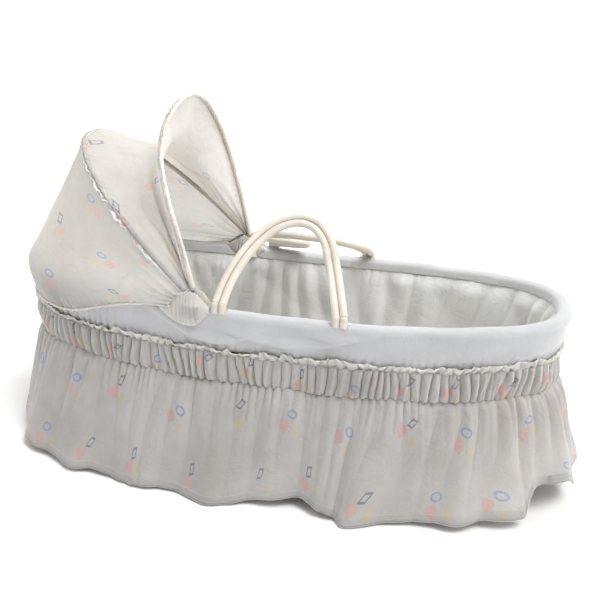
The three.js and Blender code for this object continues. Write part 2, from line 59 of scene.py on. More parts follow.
# ---- The design's own dimensions, in millimetres ---------------------------------------------

HALF_LENGTH = 400.0         # the dressed rim's outline is a superellipse
HALF_WIDTH = 170.0
SQUARENESS = 2.65
RIM_Z = 262.0
SHEER = 12.0                # rise of the rim at both ends
SEAM_DROP = 62.0            # the upper elastic, below the rim
SEAM_INSET = 11.0           # the dressing follows the basket's wall in as it drops
WAIST_DROP = 104.0          # the lower elastic, where the skirt starts
WAIST_INSET = 14.0
FLOOR_Z = 57.3              # top of the lining's floor

PIVOT_X = -105.0            # the hood's pivots
PIVOT_RISE = 9.5            # above the rim there
ARCH_POWER = 2.2            # the bows are superellipses too; leans are in degrees
FRONT_BOW = {"width": 152.9, "height": 258.0, "lean": 13.0, "bend": 21.0}
REAR_BOW = {"width": 161.1, "height": 278.0, "lean": 48.0, "bend": 0.0}
PANEL_OUT = 4.3             # from a bow wire's centre to the cloth
PANEL_FOOT = 15.0           # rise above the pivot at which the hood's cloth starts
HEM_HOOD_X = -129.0         # where the hood's hem meets the rim

CORD_PITCH = 10.4           # between the middles of a handle's two ropes
ROPE_R = 5.1                # the soft ropes press against each other
HINGE_Y = 164.0             # the handles' hinges
HINGE_Z = 269.2
NEAR_LEAN = 48.0            # how far each handle leans in, in degrees
FAR_LEAN = 68.0
# Points on each handle's middle line, as (x, rise) in the plane it leans in.
NEAR_ROUTE = [
    (-68, 1), (-64, 35), (-54, 72), (-37, 108), (-13, 136), (14, 147),
    (38, 141), (57, 120), (70, 86), (83, 42), (94, 1),
]
FAR_ROUTE = [
    (94, 1), (92, 38), (80, 82), (52, 118), (12, 134), (-28, 133), (-60, 115), (-72, 84),
    (-54, 58), (-26, 52), (-10, 36), (-26, 18), (-54, 14), (-68, 1),
]


SIDES = (("near", -1), ("far", 1))      # and the sign of y there


# ---- Numbers ---------------------------------------------------------------------------------

def signed_power(value, power):
    return np.sign(value) * np.abs(value) ** power


def smooth(t):
    t = np.clip(t, 0, 1)
    return t * t * (3 - 2 * t)


def mix(a, b, t):
    return a + (b - a) * t


def steps(count):
    """Even steps from 0 to 1, across a grid."""
    return np.linspace(0, 1, count)[None, :]


def xyz(x, y, z):
    return np.stack(np.broadcast_arrays(x, y, z), axis=-1)


def run_along(path):
    """The length walked from a path's start to each of its points."""
    return np.concatenate([[0], np.cumsum(np.linalg.norm(np.diff(path, axis=0), axis=1))])


def hump(t):
    """0 at 0, 1 half way, and 0 at 1."""
    return np.sin(math.pi * t)


def bell(distance, width):
    return np.exp(-(distance / width) ** 2)


def noise(seed, a, b=0.0, wrap=64):
    """Smooth noise between -1 and 1; it repeats along a after wrap whole cells."""
    table = np.random.default_rng(seed).uniform(-1, 1, (wrap, 64))
    a, b = np.broadcast_arrays(np.asarray(a, float), np.asarray(b, float))
    i, j = np.floor(a).astype(int), np.floor(b).astype(int)
    s, t = smooth(a - i), smooth(b - j)

    def pick(di, dj):
        return table[(i + di) % wrap, (j + dj) % 64]

    return mix(mix(pick(0, 0), pick(1, 0), s), mix(pick(0, 1), pick(1, 1), s), t)


def round_noise(seed, share, cells, b=0.0):
    """Noise that closes on itself once share has gone from 0 to 1."""
    return noise(seed, share * cells, b, wrap=cells)


def gathers(seed, share, count, down=0.0, drift=0.2, sharpness=0.75):
    """Heights, about 0 to 1, of count gathered folds: round crests with pinched valleys."""
    third = max(count // 3, 1)
    phase = share * count + 0.8 * round_noise(seed, share, third, down * 0.45)
    phase = phase + drift * round_noise(seed + 1, share, max(count // 2, 1), down)
    vary = 0.74 + 0.42 * round_noise(seed + 2, share, max(count // 2, 1), down)
    return vary * np.abs(np.sin(math.pi * phase)) ** sharpness


# ---- The outline, walked by length from the foot end, counterclockwise -----------------------

def outline_xy(inset, turn):
    power = 2 / SQUARENESS
    x = (HALF_LENGTH - inset) * signed_power(np.cos(turn), power)
    y = (HALF_WIDTH - inset) * signed_power(np.sin(turn), power)
    return x, y


TABLE_TURNS = np.linspace(0, 2 * math.pi, 24001)
TABLE_X, TABLE_Y = outline_xy(0, TABLE_TURNS)
TABLE_RUN = np.concatenate([[0], np.cumsum(np.hypot(np.diff(TABLE_X), np.diff(TABLE_Y)))])
PERIMETER = float(TABLE_RUN[-1])


def share_at(x, side):
    """The outline's share of length at x, on the near (-1) or far (+1) side."""
    turn = np.arccos(signed_power(np.asarray(x, float) / HALF_LENGTH, SQUARENESS / 2))
    if side < 0:
        turn = 2 * math.pi - turn
    return np.interp(turn, TABLE_TURNS, TABLE_RUN) / PERIMETER


def sheer_at(x):
    return SHEER * (x / HALF_LENGTH) ** 2


class Ring:
    """Positions round the outline at given shares of its length."""

    def __init__(self, count, start=0.0, end=1.0):
        self.share = np.linspace(start, end, count + 1)[:, None]
        self.turn = np.interp(self.share * PERIMETER, TABLE_RUN, TABLE_TURNS)
        x, y = outline_xy(0, self.turn)
        self.x, self.y = x, y
        across = signed_power(x / HALF_LENGTH, SQUARENESS - 1) / HALF_LENGTH
        along = signed_power(y / HALF_WIDTH, SQUARENESS - 1) / HALF_WIDTH
        size = np.hypot(across, along)
        self.nx, self.ny = across / size, along / size
        self.rim_z = RIM_Z + sheer_at(x)
        self.near = smooth((-y - 60) / 60)      # 1 on the near side, 0 on the far one
        self.run = self.share * PERIMETER

    def points(self, inset, z, out=0.0, along=0.0):
        """Points at an inset, moved out along the outline's normal and along its direction."""
        x, y = outline_xy(inset, self.turn)
        x = x + self.nx * out - self.ny * along
        y = y + self.ny * out + self.nx * along
        return xyz(x, y, z)


# ---- Meshes ----------------------------------------------------------------------------------

def add(name, data):
    thing = bpy.data.objects.new(name, data)
    bpy.context.scene.collection.objects.link(thing)
    return thing


def new_mesh(name, points, faces, uvs):
    """A smooth mesh from points in millimetres; uvs has one pair for each face corner."""
    mesh = bpy.data.meshes.new(name)
    mesh.from_pydata((np.asarray(points).reshape(-1, 3) * MM).tolist(), [], faces)
    layer = mesh.uv_layers.new(name="cloth")
    layer.data.foreach_set("uv", np.asarray(uvs, np.float32).ravel())
    mesh.polygons.foreach_set("use_smooth", [True] * len(mesh.polygons))
    mesh.update()
    return add(name, mesh)


def faces_and_uvs(corners, rows, columns, cloth_u, cloth_v):
    """Faces over a grid that wraps after rows and columns, and their corners' places on the
    flat cloth, in metres."""
    faces = np.stack([(a % rows) * columns + b % columns for a, b in corners], axis=-1)
    places = [np.stack([cloth_u[a, b], cloth_v[a, b]], axis=-1) for a, b in corners]
    return faces.reshape(-1, 4).tolist(), (np.stack(places, axis=-2) * MM).reshape(-1, 2).tolist()


def across_first(rows, columns):
    """The corners of each face of a grid, going across it before along it."""
    i, j = np.meshgrid(np.arange(rows), np.arange(columns), indexing="ij")
    return [(i, j), (i, j + 1), (i + 1, j + 1), (i + 1, j)]


def grid_piece(name, points, cloth_u, cloth_v, closed=False, out=1):
    """A sheet from an (n, m, 3) grid. cloth_u and cloth_v are its places on the flat cloth."""
    n, m = points.shape[:2]
    u, v = (np.broadcast_to(place, (n, m)) for place in (cloth_u, cloth_v))
    rows = n - 1 if closed else n
    i, j = np.meshgrid(np.arange(n - 1), np.arange(m - 1), indexing="ij")
    corners = [(i, j), (i + 1, j), (i + 1, j + 1), (i, j + 1)]
    if out < 0:
        corners = corners[::-1]
    return new_mesh(name, points[:rows], *faces_and_uvs(corners, rows, m, u, v))


def wrapped_grid_piece(name, points, cloth_u, girth):
    """A grid that closes both ways."""
    n, m = points.shape[0] - 1, points.shape[1] - 1
    u = np.broadcast_to(cloth_u, (n + 1, m + 1))
    v = np.broadcast_to(np.linspace(0, girth, m + 1), (n + 1, m + 1))
    return new_mesh(name, points[:n, :m], *faces_and_uvs(across_first(n, m), n, m, u, v))


def grid_normals(points):
    along = np.gradient(points, axis=0)
    down = np.gradient(points, axis=1)
    normal = np.cross(along, down)
    return normal / np.maximum(np.linalg.norm(normal, axis=-1, keepdims=True), 1e-9)


def relief(points, height):
    """The grid moved along its own normals."""
    return points + grid_normals(points) * np.asarray(height)[..., None]


def soften(points, times):
    """Rounds the folds across a grid's second direction and keeps its two edges."""
    for _ in range(times):
        middle = (points[:, :-2] + 2 * points[:, 1:-1] + points[:, 2:]) / 4
        points = np.concatenate([points[:, :1], middle, points[:, -1:]], axis=1)
    return points


def thicken(piece, thickness, offset=0.0):
    modifier = piece.modifiers.new("cloth thickness", "SOLIDIFY")
    modifier.thickness = thickness * MM
    modifier.offset = offset
    modifier.use_even_offset = False
    return piece


def finish_piece(piece, body, slot, material, *nodes):
    piece.data.materials.append(material)
    if body:
        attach(piece, body)
    if nodes:
        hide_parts(*nodes)
    return piece


def sew(piece, body, *nodes, thickness=CLOTH):
    """Makes a grid a piece of print cotton."""
    thicken(piece, thickness)
    return finish_piece(piece, body, "print_cotton", print_cotton, *nodes)


def tube(name, path, radius, sides=20):
    """A round tube with closed ends along path. radius is a number, a column with one for each
    point, or a grid that also has one for each side, with the first given again at the end."""
    path = np.asarray(path, float)
    count = len(path)
    tangent = np.gradient(path, axis=0)
    tangent /= np.linalg.norm(tangent, axis=1, keepdims=True)
    normal = np.zeros_like(path)
    first = np.cross(tangent[0], (0.31, 0.52, 0.8))
    normal[0] = first / np.linalg.norm(first)
    for k in range(1, count):
        carried = normal[k - 1] - tangent[k] * np.dot(normal[k - 1], tangent[k])
        normal[k] = carried / np.linalg.norm(carried)
    binormal = np.cross(tangent, normal)
    angle = np.linspace(0, 2 * math.pi, sides + 1)
    size = np.broadcast_to(radius, (count, sides + 1))[..., None]
    ring = normal[:, None] * np.cos(angle)[None, :, None]
    ring = ring + binormal[:, None] * np.sin(angle)[None, :, None]
    points = path[:, None] + ring * size
    run = run_along(path)
    girth = 2 * math.pi * float(np.mean(size))
    shape = (count, sides + 1)
    faces, uvs = faces_and_uvs(
        across_first(count - 1, sides), count, sides, np.broadcast_to(run[:, None], shape),
        np.broadcast_to(np.arange(sides + 1) * girth / sides, shape))
    for cap in (range(sides)[::-1], range((count - 1) * sides, count * sides)):
        faces.append(list(cap))
        uvs.extend([[0.0, 0.0]] * sides)
    return new_mesh(name, points[:, :sides], faces, uvs)


def smooth_path(points, count):
    """Points spaced evenly along a centripetal Catmull-Rom curve through the given ones."""
    p = np.asarray(points, float)
    p = np.vstack([2 * p[0] - p[1], p, 2 * p[-1] - p[-2]])
    dense = []
    for a, b, c, d in zip(p[:-3], p[1:-2], p[2:-1], p[3:]):
        t1 = np.linalg.norm(b - a) ** 0.5
        t2 = t1 + np.linalg.norm(c - b) ** 0.5
        t3 = t2 + np.linalg.norm(d - c) ** 0.5
        t = np.linspace(t1, t2, 24, endpoint=False)[:, None]
        ab = a * (t1 - t) / t1 + b * t / t1
        bc = b * (t2 - t) / (t2 - t1) + c * (t - t1) / (t2 - t1)
        cd = c * (t3 - t) / (t3 - t2) + d * (t - t2) / (t3 - t2)
        abc = ab * (t2 - t) / t2 + bc * t / t2
        bcd = bc * (t3 - t) / (t3 - t1) + cd * (t - t1) / (t3 - t1)
        dense.append(abc * (t2 - t) / (t2 - t1) + bcd * (t - t1) / (t2 - t1))
    dense = np.vstack(dense + [p[-2:-1]])
    run = run_along(dense)
    at = np.linspace(0, run[-1], count)
    return np.stack([np.interp(at, run, dense[:, k]) for k in range(dense.shape[1])], axis=-1)


# ---- Materials -------------------------------------------------------------------------------

def feed(tree, place, value):
    """Gives a shader input a field's values, or a plain number."""
    if isinstance(value, Field):
        tree.links.new(value.socket, place)
    else:
        place.default_value = value


class Field:
    """A number that varies over the surface. Arithmetic on it makes Math nodes."""

    def __init__(self, tree, socket):
        self.tree, self.socket = tree, socket

    def math(self, operation, *values):
        node = self.tree.nodes.new("ShaderNodeMath")
        node.operation = operation
        for place, value in zip(node.inputs, (self, *values)):
            feed(self.tree, place, value)
        return Field(self.tree, node.outputs[0])

    def __add__(self, other):
        return self.math("ADD", other)

    def __sub__(self, other):
        return self.math("SUBTRACT", other)

    def __mul__(self, other):
        return self.math("MULTIPLY", other)

    def __truediv__(self, other):
        return self.math("DIVIDE", other)

    def abs(self):
        return self.math("ABSOLUTE")

    def floor(self):
        return self.math("FLOOR")

    def sine(self):
        return self.math("SINE")

    def root(self):
        return self.math("SQRT")

    def larger(self, other):
        return self.math("MAXIMUM", other)

    def step(self, low, high, bottom=0.0, top=1.0):
        """bottom below low, top above high, and a smooth change between them."""
        node = self.tree.nodes.new("ShaderNodeMapRange")
        node.interpolation_type = "SMOOTHSTEP"
        self.tree.links.new(self.socket, node.inputs["Value"])
        for name, value in (("From Min", low), ("From Max", high),
                            ("To Min", bottom), ("To Max", top)):
            node.inputs[name].default_value = value
        return Field(self.tree, node.outputs["Result"])

    def ramp(self, stops):
        """A colour ramp: stops are (position, colour)."""
        node = self.tree.nodes.new("ShaderNodeValToRGB")
        elements = node.color_ramp.elements
        while len(elements) < len(stops):
            elements.new(0.5)
        for element, (position, colour) in zip(elements, stops):
            element.position = position
            element.color = (*colour, 1)
        self.tree.links.new(self.socket, node.inputs["Fac"])
        return node.outputs["Color"]


def srgb(red, green, blue):
    """Linear colour from 0..255 display values."""
    return tuple(
        c / 12.92 if c <= 0.04045 else ((c + 0.055) / 1.055) ** 2.4
        for c in (red / 255, green / 255, blue / 255)
    )


LIGHT_SPREAD = (1.0, 0.95, 0.85)        # how far each colour of light goes inside cloth
LIGHT_DEPTH = 0.016


def dim(colour, share):
    return tuple(c * share for c in colour)


class Finish:
    """One material: a Principled shader and helpers that feed it."""

    def __init__(self, name, roughness, metallic=0.0, sheen=0.0, sheen_roughness=0.4,
                 coat=0.0, subsurface=0.0):
        self.material = bpy.data.materials.new(name)
        self.material.use_nodes = True
        self.tree = self.material.node_tree
        self.shader = self.tree.nodes["Principled BSDF"]
        settings = {
            "Roughness": roughness, "Metallic": metallic, "Sheen Weight": sheen,
            "Sheen Roughness": sheen_roughness, "Coat Weight": coat,
            "Subsurface Weight": subsurface, "Subsurface Radius": LIGHT_SPREAD,
            "Subsurface Scale": LIGHT_DEPTH,
        }
        for place, value in settings.items():
            self.shader.inputs[place].default_value = value

    def node(self, kind, **settings):
        made = self.tree.nodes.new(kind)
        for key, value in settings.items():
            setattr(made, key, value)
        return made

    def split(self, vector, count):
        """A vector's first numbers, as fields."""
        made = self.node("ShaderNodeSeparateXYZ")
        self.tree.links.new(vector, made.inputs[0])
        return tuple(Field(self.tree, made.outputs[k]) for k in range(count))

    def cloth_uv(self):
        """The flat cloth's coordinates, in metres, as two fields."""
        return self.split(self.node("ShaderNodeUVMap", uv_map="cloth").outputs["UV"], 2)

    def space(self):
        """The object's own coordinates, in metres."""
        return self.node("ShaderNodeTexCoord").outputs["Object"]

    def coordinates(self):
        """The object's own coordinates, in metres, as three fields."""
        return self.split(self.space(), 3)

    def noise(self, vector, scale, detail=3.0, roughness=0.5, distortion=0.0):
        made = self.node("ShaderNodeTexNoise")
        self.tree.links.new(vector, made.inputs["Vector"])
        settings = {"Scale": scale, "Detail": detail, "Roughness": roughness,
                    "Distortion": distortion}
        for place, value in settings.items():
            made.inputs[place].default_value = value
        return Field(self.tree, made.outputs["Fac"])

    def vector(self, x, y, z=0.0):
        made = self.node("ShaderNodeCombineXYZ")
        for place, value in zip(made.inputs, (x, y, z)):
            feed(self.tree, place, value)
        return made.outputs[0]

    def paint_over(self, below, colour, mask):
        """below with colour laid over it where mask is 1."""
        made = self.node("ShaderNodeMix", data_type="RGBA")
        self.tree.links.new(mask.socket, made.inputs["Factor"])
        self.tree.links.new(below, made.inputs["A"])
        if isinstance(colour, tuple):
            made.inputs["B"].default_value = (*colour, 1)
        else:
            self.tree.links.new(colour, made.inputs["B"])
        return made.outputs["Result"]

    def bump(self, height, distance, strength=1.0, below=None):
        made = self.node("ShaderNodeBump")
        made.inputs["Strength"].default_value = strength
        made.inputs["Distance"].default_value = distance
        self.tree.links.new(height.socket, made.inputs["Height"])
        if below is not None:
            self.tree.links.new(below, made.inputs["Normal"])
        return made.outputs["Normal"]

    def made(self, colour, normal=None, roughness=None):
        """The material, with its colour, normal and roughness linked."""
        for place, socket in (("Base Color", colour), ("Normal", normal),
                              ("Roughness", roughness and roughness.socket)):
            if socket:
                self.tree.links.new(socket, self.shader.inputs[place])
        return self.material


THREAD = 0.0011             # metres between the weave's threads


def weave(u, v, thread=THREAD):
    """A plain weave's height: warp and weft rise in turn."""
    turn = 2 * math.pi / thread
    warp = (u * turn).sine()
    weft = (v * turn).sine()
    return (warp * weft) * 0.5 + 0.5


# The print: one loose cluster of simple shapes in each cell of the cloth.
CELL_U = 0.112
CELL_V = 0.092
INK_PINK = srgb(228, 152, 146)
INK_MUSTARD = srgb(214, 190, 108)
INK_BLUE = srgb(112, 140, 190)
INK_NAVY = srgb(70, 82, 112)


def cell_random(finish, column, row, offset):
    made = finish.node("ShaderNodeTexWhiteNoise", noise_dimensions="2D")
    finish.tree.links.new(finish.vector(column + offset, row), made.inputs["Vector"])
    return Field(finish.tree, made.outputs["Value"])


def placed(x, y, cx, cy, half_width, half_height, slant=None):
    """Distances from a shape's middle, as shares of half its size."""
    along = x - cx if slant is None else (x - cx) + (y - cy) * slant
    return along / half_width, (y - cy) / half_height


def outline_mask(away, line):
    """1 along a shape's edge; away is the distance from it, as a share of the shape."""
    return away.abs().step(line * 0.6, line * 1.3, 1.0, 0.0)


def oval_outline_mask(x, y, line, *box):
    dx, dy = placed(x, y, *box)
    return outline_mask((dx * dx + dy * dy).root() - 1.0, line)


def box_outline_mask(x, y, line, *box):
    dx, dy = placed(x, y, *box)
    return outline_mask(dx.abs().larger(dy.abs()) - 1.0, line)


def heart_mask(x, y, cx, cy, size):
    dx, dy = placed(x, y, cx, cy, size, size)
    lift = dy - dx.abs().root() * 0.62
    return (dx * dx + lift * lift).step(0.72, 1.0, 1.0, 0.0)


def drop_mask(x, y, *box):
    dx, dy = placed(x, y, *box)
    return (dx * dx + dy * dy).step(0.75, 1.05, 1.0, 0.0)


def printed(finish, below, u, v):
    """The cotton's print over the colour below."""
    row = (v / CELL_V).floor()
    shift = row * 0.5
    across = u / CELL_U + shift
    column = across.floor()
    first, second, third = (cell_random(finish, column, row, o) for o in (0.0, 17.3, 41.9))
    left = (across - column - 0.5) * CELL_U + (first - 0.5) * 0.030
    up = (v / CELL_V - row - 0.5) * CELL_V * -1.0 + (second - 0.5) * 0.026
    turn = (third - 0.5) * 1.3
    sine, cosine = turn.sine(), turn.math("COSINE")
    x = left * cosine - up * sine
    y = left * sine + up * cosine
    worn = finish.noise(finish.vector(u, v), 420.0, 2.0).step(0.28, 0.55, 0.55, 1.0)
    plain = second.step(0.5, 0.52)
    shapes = (
        (INK_PINK, heart_mask(x, y, -0.009, -0.008, 0.0098) * first.step(0.12, 0.13), 0.66),
        (INK_MUSTARD, drop_mask(x, y, 0.013, -0.010, 0.0052, 0.0086, -0.35)
         * third.step(0.2, 0.21), 0.55),
        (INK_BLUE,
         oval_outline_mask(x, y, 0.27, 0.004, 0.0130, 0.0078, 0.0054) * plain, 0.72),
        (INK_NAVY,
         box_outline_mask(x, y, 0.27, 0.004, 0.0130, 0.0040, 0.0060, -0.45)
         * (plain * -1.0 + 1.0), 0.72),
    )
    for ink, mask, weight in shapes:
        below = finish.paint_over(below, ink, mask * worn * weight)
    return below


def cloth(name, light, shade, print_on=False, sheen=0.12, roughness=0.82, thread=THREAD,
          crumple=0.0016, stitches=(), see_through=0.7):
    """Woven cotton: colour that varies a little, creases, threads, and rows of stitching."""
    finish = Finish(name, roughness, sheen=sheen, subsurface=see_through)
    u, v = finish.cloth_uv()
    place = finish.space()
    patches = finish.noise(place, 9.0, 3.0, 0.55)
    colour = patches.ramp([(0.32, shade), (0.62, light)])
    slub = finish.noise(finish.vector(u * 60.0, v * 900.0), 1.0, 2.0)
    colour = finish.paint_over(colour, dim(light, 0.93), slub.step(0.5, 0.8, 0.0, 0.5))
    if print_on:
        colour = printed(finish, colour, u, v)
    threads = weave(u, v, thread)
    # painted shade: the hollows between the woven threads are darker
    colour = finish.paint_over(colour, dim(shade, 0.8), threads.step(0.0, 0.35, 0.35, 0.0))
    crease = finish.noise(place, 26.0, 4.0, 0.6, 0.8)
    fold = (crease - 0.5).abs().step(0.0, 0.07)
    normal = finish.bump(fold, crumple * 0.45, 0.55)
    normal = finish.bump(finish.noise(place, 70.0, 3.0, 0.6), crumple * 0.5, 0.7, normal)
    for height, spacing in stitches:
        row = (v - height).abs().step(0.0004, 0.0011, 1.0, 0.0)
        dash = (u * (2 * math.pi / spacing)).sine().step(-0.7, -0.2)
        stitch = row * dash
        colour = finish.paint_over(colour, dim(light, 1.04), stitch)
        normal = finish.bump(row * -1.0, 0.0006, 0.8, normal)
        normal = finish.bump(stitch, 0.0004, 0.8, normal)
    normal = finish.bump(threads, 0.00010, 0.6, normal)
    return finish.made(colour, normal, threads.step(0.0, 1.0, roughness + 0.06, roughness - 0.08))


def rope_finish():
    """Soft braided cotton rope, yellower in places, with a seam along it."""
    finish = Finish("rope cotton", 0.8, sheen=0.25)
    u, v = finish.cloth_uv()
    plait = ((u * 1500.0 + v * 1100.0).sine() * (u * 1500.0 - v * 1100.0).sine()) * 0.5 + 0.5
    worn = finish.noise(finish.space(), 22.0, 3.0)
    colour = worn.ramp([(0.3, srgb(184, 177, 166)), (0.7, srgb(204, 199, 189))])
    # painted shade: the hollows of the braid are darker
    colour = finish.paint_over(colour, srgb(180, 171, 156), plait.step(0.0, 0.5, 0.3, 0.0))
    seam = (v - 0.004).abs().step(0.0003, 0.0009, 1.0, 0.0)
    colour = finish.paint_over(colour, srgb(170, 160, 144), seam * 0.6)
    normal = finish.bump(plait, 0.00035, 0.6)
    normal = finish.bump(finish.noise(finish.space(), 160.0, 3.0), 0.0008, 0.5, normal)
    return finish.made(colour, normal)


def reed_finish():
    """Woven reed: round strands over and under upright stakes, with painted shade in the gaps."""
    finish = Finish("woven reed", 0.62, coat=0.08)
    x, y, z = finish.coordinates()
    round_it = (y.math("ARCTAN2", x)) * 42.0
    strand = (z * 1050.0).sine()
    row = (z * (1050.0 / math.pi) * 0.5).floor()
    over = (round_it + row * math.pi).sine()
    height = strand * 0.5 + over * 0.5
    grain = finish.noise(finish.vector(x * 40.0, y * 40.0, z * 600.0), 1.0, 4.0)
    colour = grain.ramp([(0.25, srgb(150, 112, 70)), (0.75, srgb(206, 170, 120))])
    # painted shade: the gaps between the strands are dark
    colour = finish.paint_over(colour, srgb(84, 58, 34), height.step(-0.7, 0.0, 0.75, 0.0))
    return finish.made(colour, finish.bump(height, 0.0022, 0.9))


def wood_finish():
    """Oiled beech with fine pores and a growth figure."""
    finish = Finish("beech", 0.5, coat=0.15)
    x, y, z = finish.coordinates()
    figure = finish.noise(finish.vector(x * 3.0, y * 40.0, z * 40.0), 1.0, 4.0, 0.6, 1.2)
    colour = figure.ramp([
        (0.25, srgb(178, 130, 84)), (0.5, srgb(205, 162, 112)), (0.75, srgb(222, 184, 136)),
    ])
    pores = finish.noise(finish.vector(x * 60.0, y * 900.0, z * 900.0), 1.0, 2.0)
    colour = finish.paint_over(colour, srgb(120, 80, 46), pores.step(0.62, 0.75, 0.0, 0.5))
    return finish.made(colour, finish.bump(pores, 0.0002, 0.4), figure.step(0.2, 0.8, 0.58, 0.42))


def mottled(name, base, grain, stops, depth, metallic=0.0, polish=None):
    """A finish whose colour and relief follow one noise, such as fibres, drawing marks or dust."""
    finish = Finish(name, base, metallic=metallic)
    marks = finish.noise(finish.space(), *grain)
    colour = marks.ramp([(position, srgb(*shade)) for position, shade in stops])
    return finish.made(colour, finish.bump(marks, *depth), polish and marks.step(0.3, 0.7, *polish))


def plastic_finish():
    """Moulded white plastic with a faint orange-peel skin and duller patches."""
    finish = Finish("moulded plastic", 0.4)
    skin = finish.noise(finish.space(), 900.0, 2.0)
    tone = finish.noise(finish.space(), 30.0, 2.0)
    colour = tone.ramp([(0.3, srgb(222, 220, 213)), (0.7, srgb(238, 237, 233))])
    return finish.made(colour, finish.bump(skin, 0.00006, 0.4), tone.step(0.3, 0.7, 0.48, 0.34))


def elastic_finish():
    """Knitted elastic tape: ribs along it, with painted shade in the grooves between them."""
    finish = Finish("elastic tape", 0.85, sheen=0.15)
    ribs = (finish.coordinates()[2] * 4200.0).sine() * 0.5 + 0.5
    # painted shade: the grooves between the ribs are darker than the crests
    colour = ribs.ramp([(0.0, srgb(206, 204, 196)), (0.6, srgb(236, 234, 228))])
    return finish.made(colour, finish.bump(ribs, 0.0003, 0.6))


COTTON_LIGHT = srgb(201, 196, 189)
COTTON_SHADE = srgb(179, 173, 165)
HEM_V = 0.160               # where the skirt's cut ends, in metres down the cloth

print_cotton = cloth("print cotton", COTTON_LIGHT, COTTON_SHADE, print_on=True)
skirt_cotton = cloth("skirt cotton", COTTON_LIGHT, COTTON_SHADE, print_on=True,
                     stitches=((HEM_V - 0.0105, 0.0032), (HEM_V - 0.0035, 0.0032)))
band_cotton = cloth("band cotton", srgb(233, 232, 230), srgb(216, 215, 212), sheen=0.2,
                    roughness=0.62, thread=0.0008, crumple=0.0007)
lining_cotton = cloth("lining cotton", srgb(251, 250, 244), srgb(240, 239, 230), sheen=0.1,
                      roughness=0.8, crumple=0.0012)
mattress_cotton = cloth("mattress cover", srgb(212, 210, 203), srgb(196, 193, 184), sheen=0.15,
                        roughness=0.85, crumple=0.0008)
rope_cotton = rope_finish()
hardboard = mottled("hardboard", 0.75, (260.0, 5.0, 0.7),
                    ((0.3, (104, 74, 46)), (0.7, (150, 114, 76))), (0.0003, 0.5))
drawn_steel = mottled("drawn steel", 0.3, (480.0, 4.0, 0.7),
                      ((0.3, (150, 152, 156)), (0.7, (196, 198, 202))), (0.00008, 0.4),
                      metallic=1.0, polish=(0.24, 0.44))
rubber = mottled("rubber", 0.85, (140.0, 4.0, 0.65),
                 ((0.35, (34, 34, 36)), (0.8, (78, 76, 74))), (0.0002, 0.4))

NODE_FINISHES = (
    (("stand_rail", "stand_crossbar", "stand_leg", "stop_block"), wood_finish()),
    (("rest_strip", "stand_glide"), rubber),
    (("rail_screw", "hood_pivot_pin", "hood_pin_nut", "rear_bow_wire", "front_bow_wire",
      "rear_bow_eye", "front_bow_eye"), drawn_steel),
    (("woven_base", "woven_wall", "lower_hoop", "rim_hoop"), reed_finish()),
    (("base_board",), hardboard),
    (("hood_clip",), plastic_finish()),
    (("seam_elastic", "waist_elastic"), elastic_finish()),
)
for prefixes, material in NODE_FINISHES:
    for node_name, node_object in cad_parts.items():
        if node_name.startswith(prefixes):
            node_object.data.materials.clear()
            node_object.data.materials.append(material)


# ---- Skirt -----------------------------------------------------------------------------------

# The hem's height on the near side, as (x, z), and the big folds that hang there, as
# (x, out, lean, width): how far each stands out at the hem and which way it leans over.
HEM_NEAR = [
    (-396, 20), (-330, 12), (-262, 7), (-235, 9), (-193, 4), (-148, 6), (-76, 3), (-33, 3),
    (8, 12), (63, 18), (104, 10), (125, 3), (153, 2.5), (235, 11), (286, 14), (338, 18),
    (350, 50), (396, 52),
]
FOLDS_NEAR = [
    (-345, 8, -6, 26), (-275, 9, 5, 22), (-215, -3, 0, 18), (-168, 6, -6, 20), (-130, -5, 0, 22),
    (-62, 13, -4, 34), (2, -5, 0, 18), (52, -14, 0, 26), (150, 15, -26, 30), (205, -6, 0, 24),
    (262, 8, 4, 28), (326, 9, 14, 22), (358, -13, 0, 14), (384, 6, 0, 20),
]
FAR_FOLDS = 15
SIDE_FLARE = 9.0            # how much further the long sides stand out at the hem


def hem_heights(ring):
    """The hem's height all round: the near list, and an even wander elsewhere."""
    xs, zs = zip(*HEM_NEAR)
    at = share_at(xs, -1)
    near = np.interp(ring.share, at, zs)
    reach = smooth(np.minimum(ring.share - at[0], at[-1] - ring.share) / 0.02)
    elsewhere = 22 + 14 * round_noise(5, ring.share, 14)
    return mix(elsewhere, near, reach)


def big_folds(ring):
    """How far the hem stands out and leans along the outline, from the big folds."""
    out = np.zeros_like(ring.share)
    lean = np.zeros_like(ring.share)
    folds = [(float(share_at(x, -1)), o, l, w) for x, o, l, w in FOLDS_NEAR]
    random = np.random.default_rng(11)
    for k in range(FAR_FOLDS):
        share = (k + 0.5 + random.uniform(-0.25, 0.25)) / FAR_FOLDS * 0.5
        folds.append((share, random.uniform(9, 15), random.uniform(-14, 14),
                      random.uniform(20, 32)))
        folds.append((share + 0.25 / FAR_FOLDS, -8.0, 0.0, 18.0))
    for share, height, shift, width in folds:
        away = np.abs(ring.share - share)
        away = np.minimum(away, 1 - away) * PERIMETER
        out += height * bell(away, width)
        lean += shift * bell(away, width * 0.8)
    return out, lean


def skirt_rows():
    """Shares of the way down, closer together near the waist."""
    return np.linspace(0, 1, 52) ** 1.45


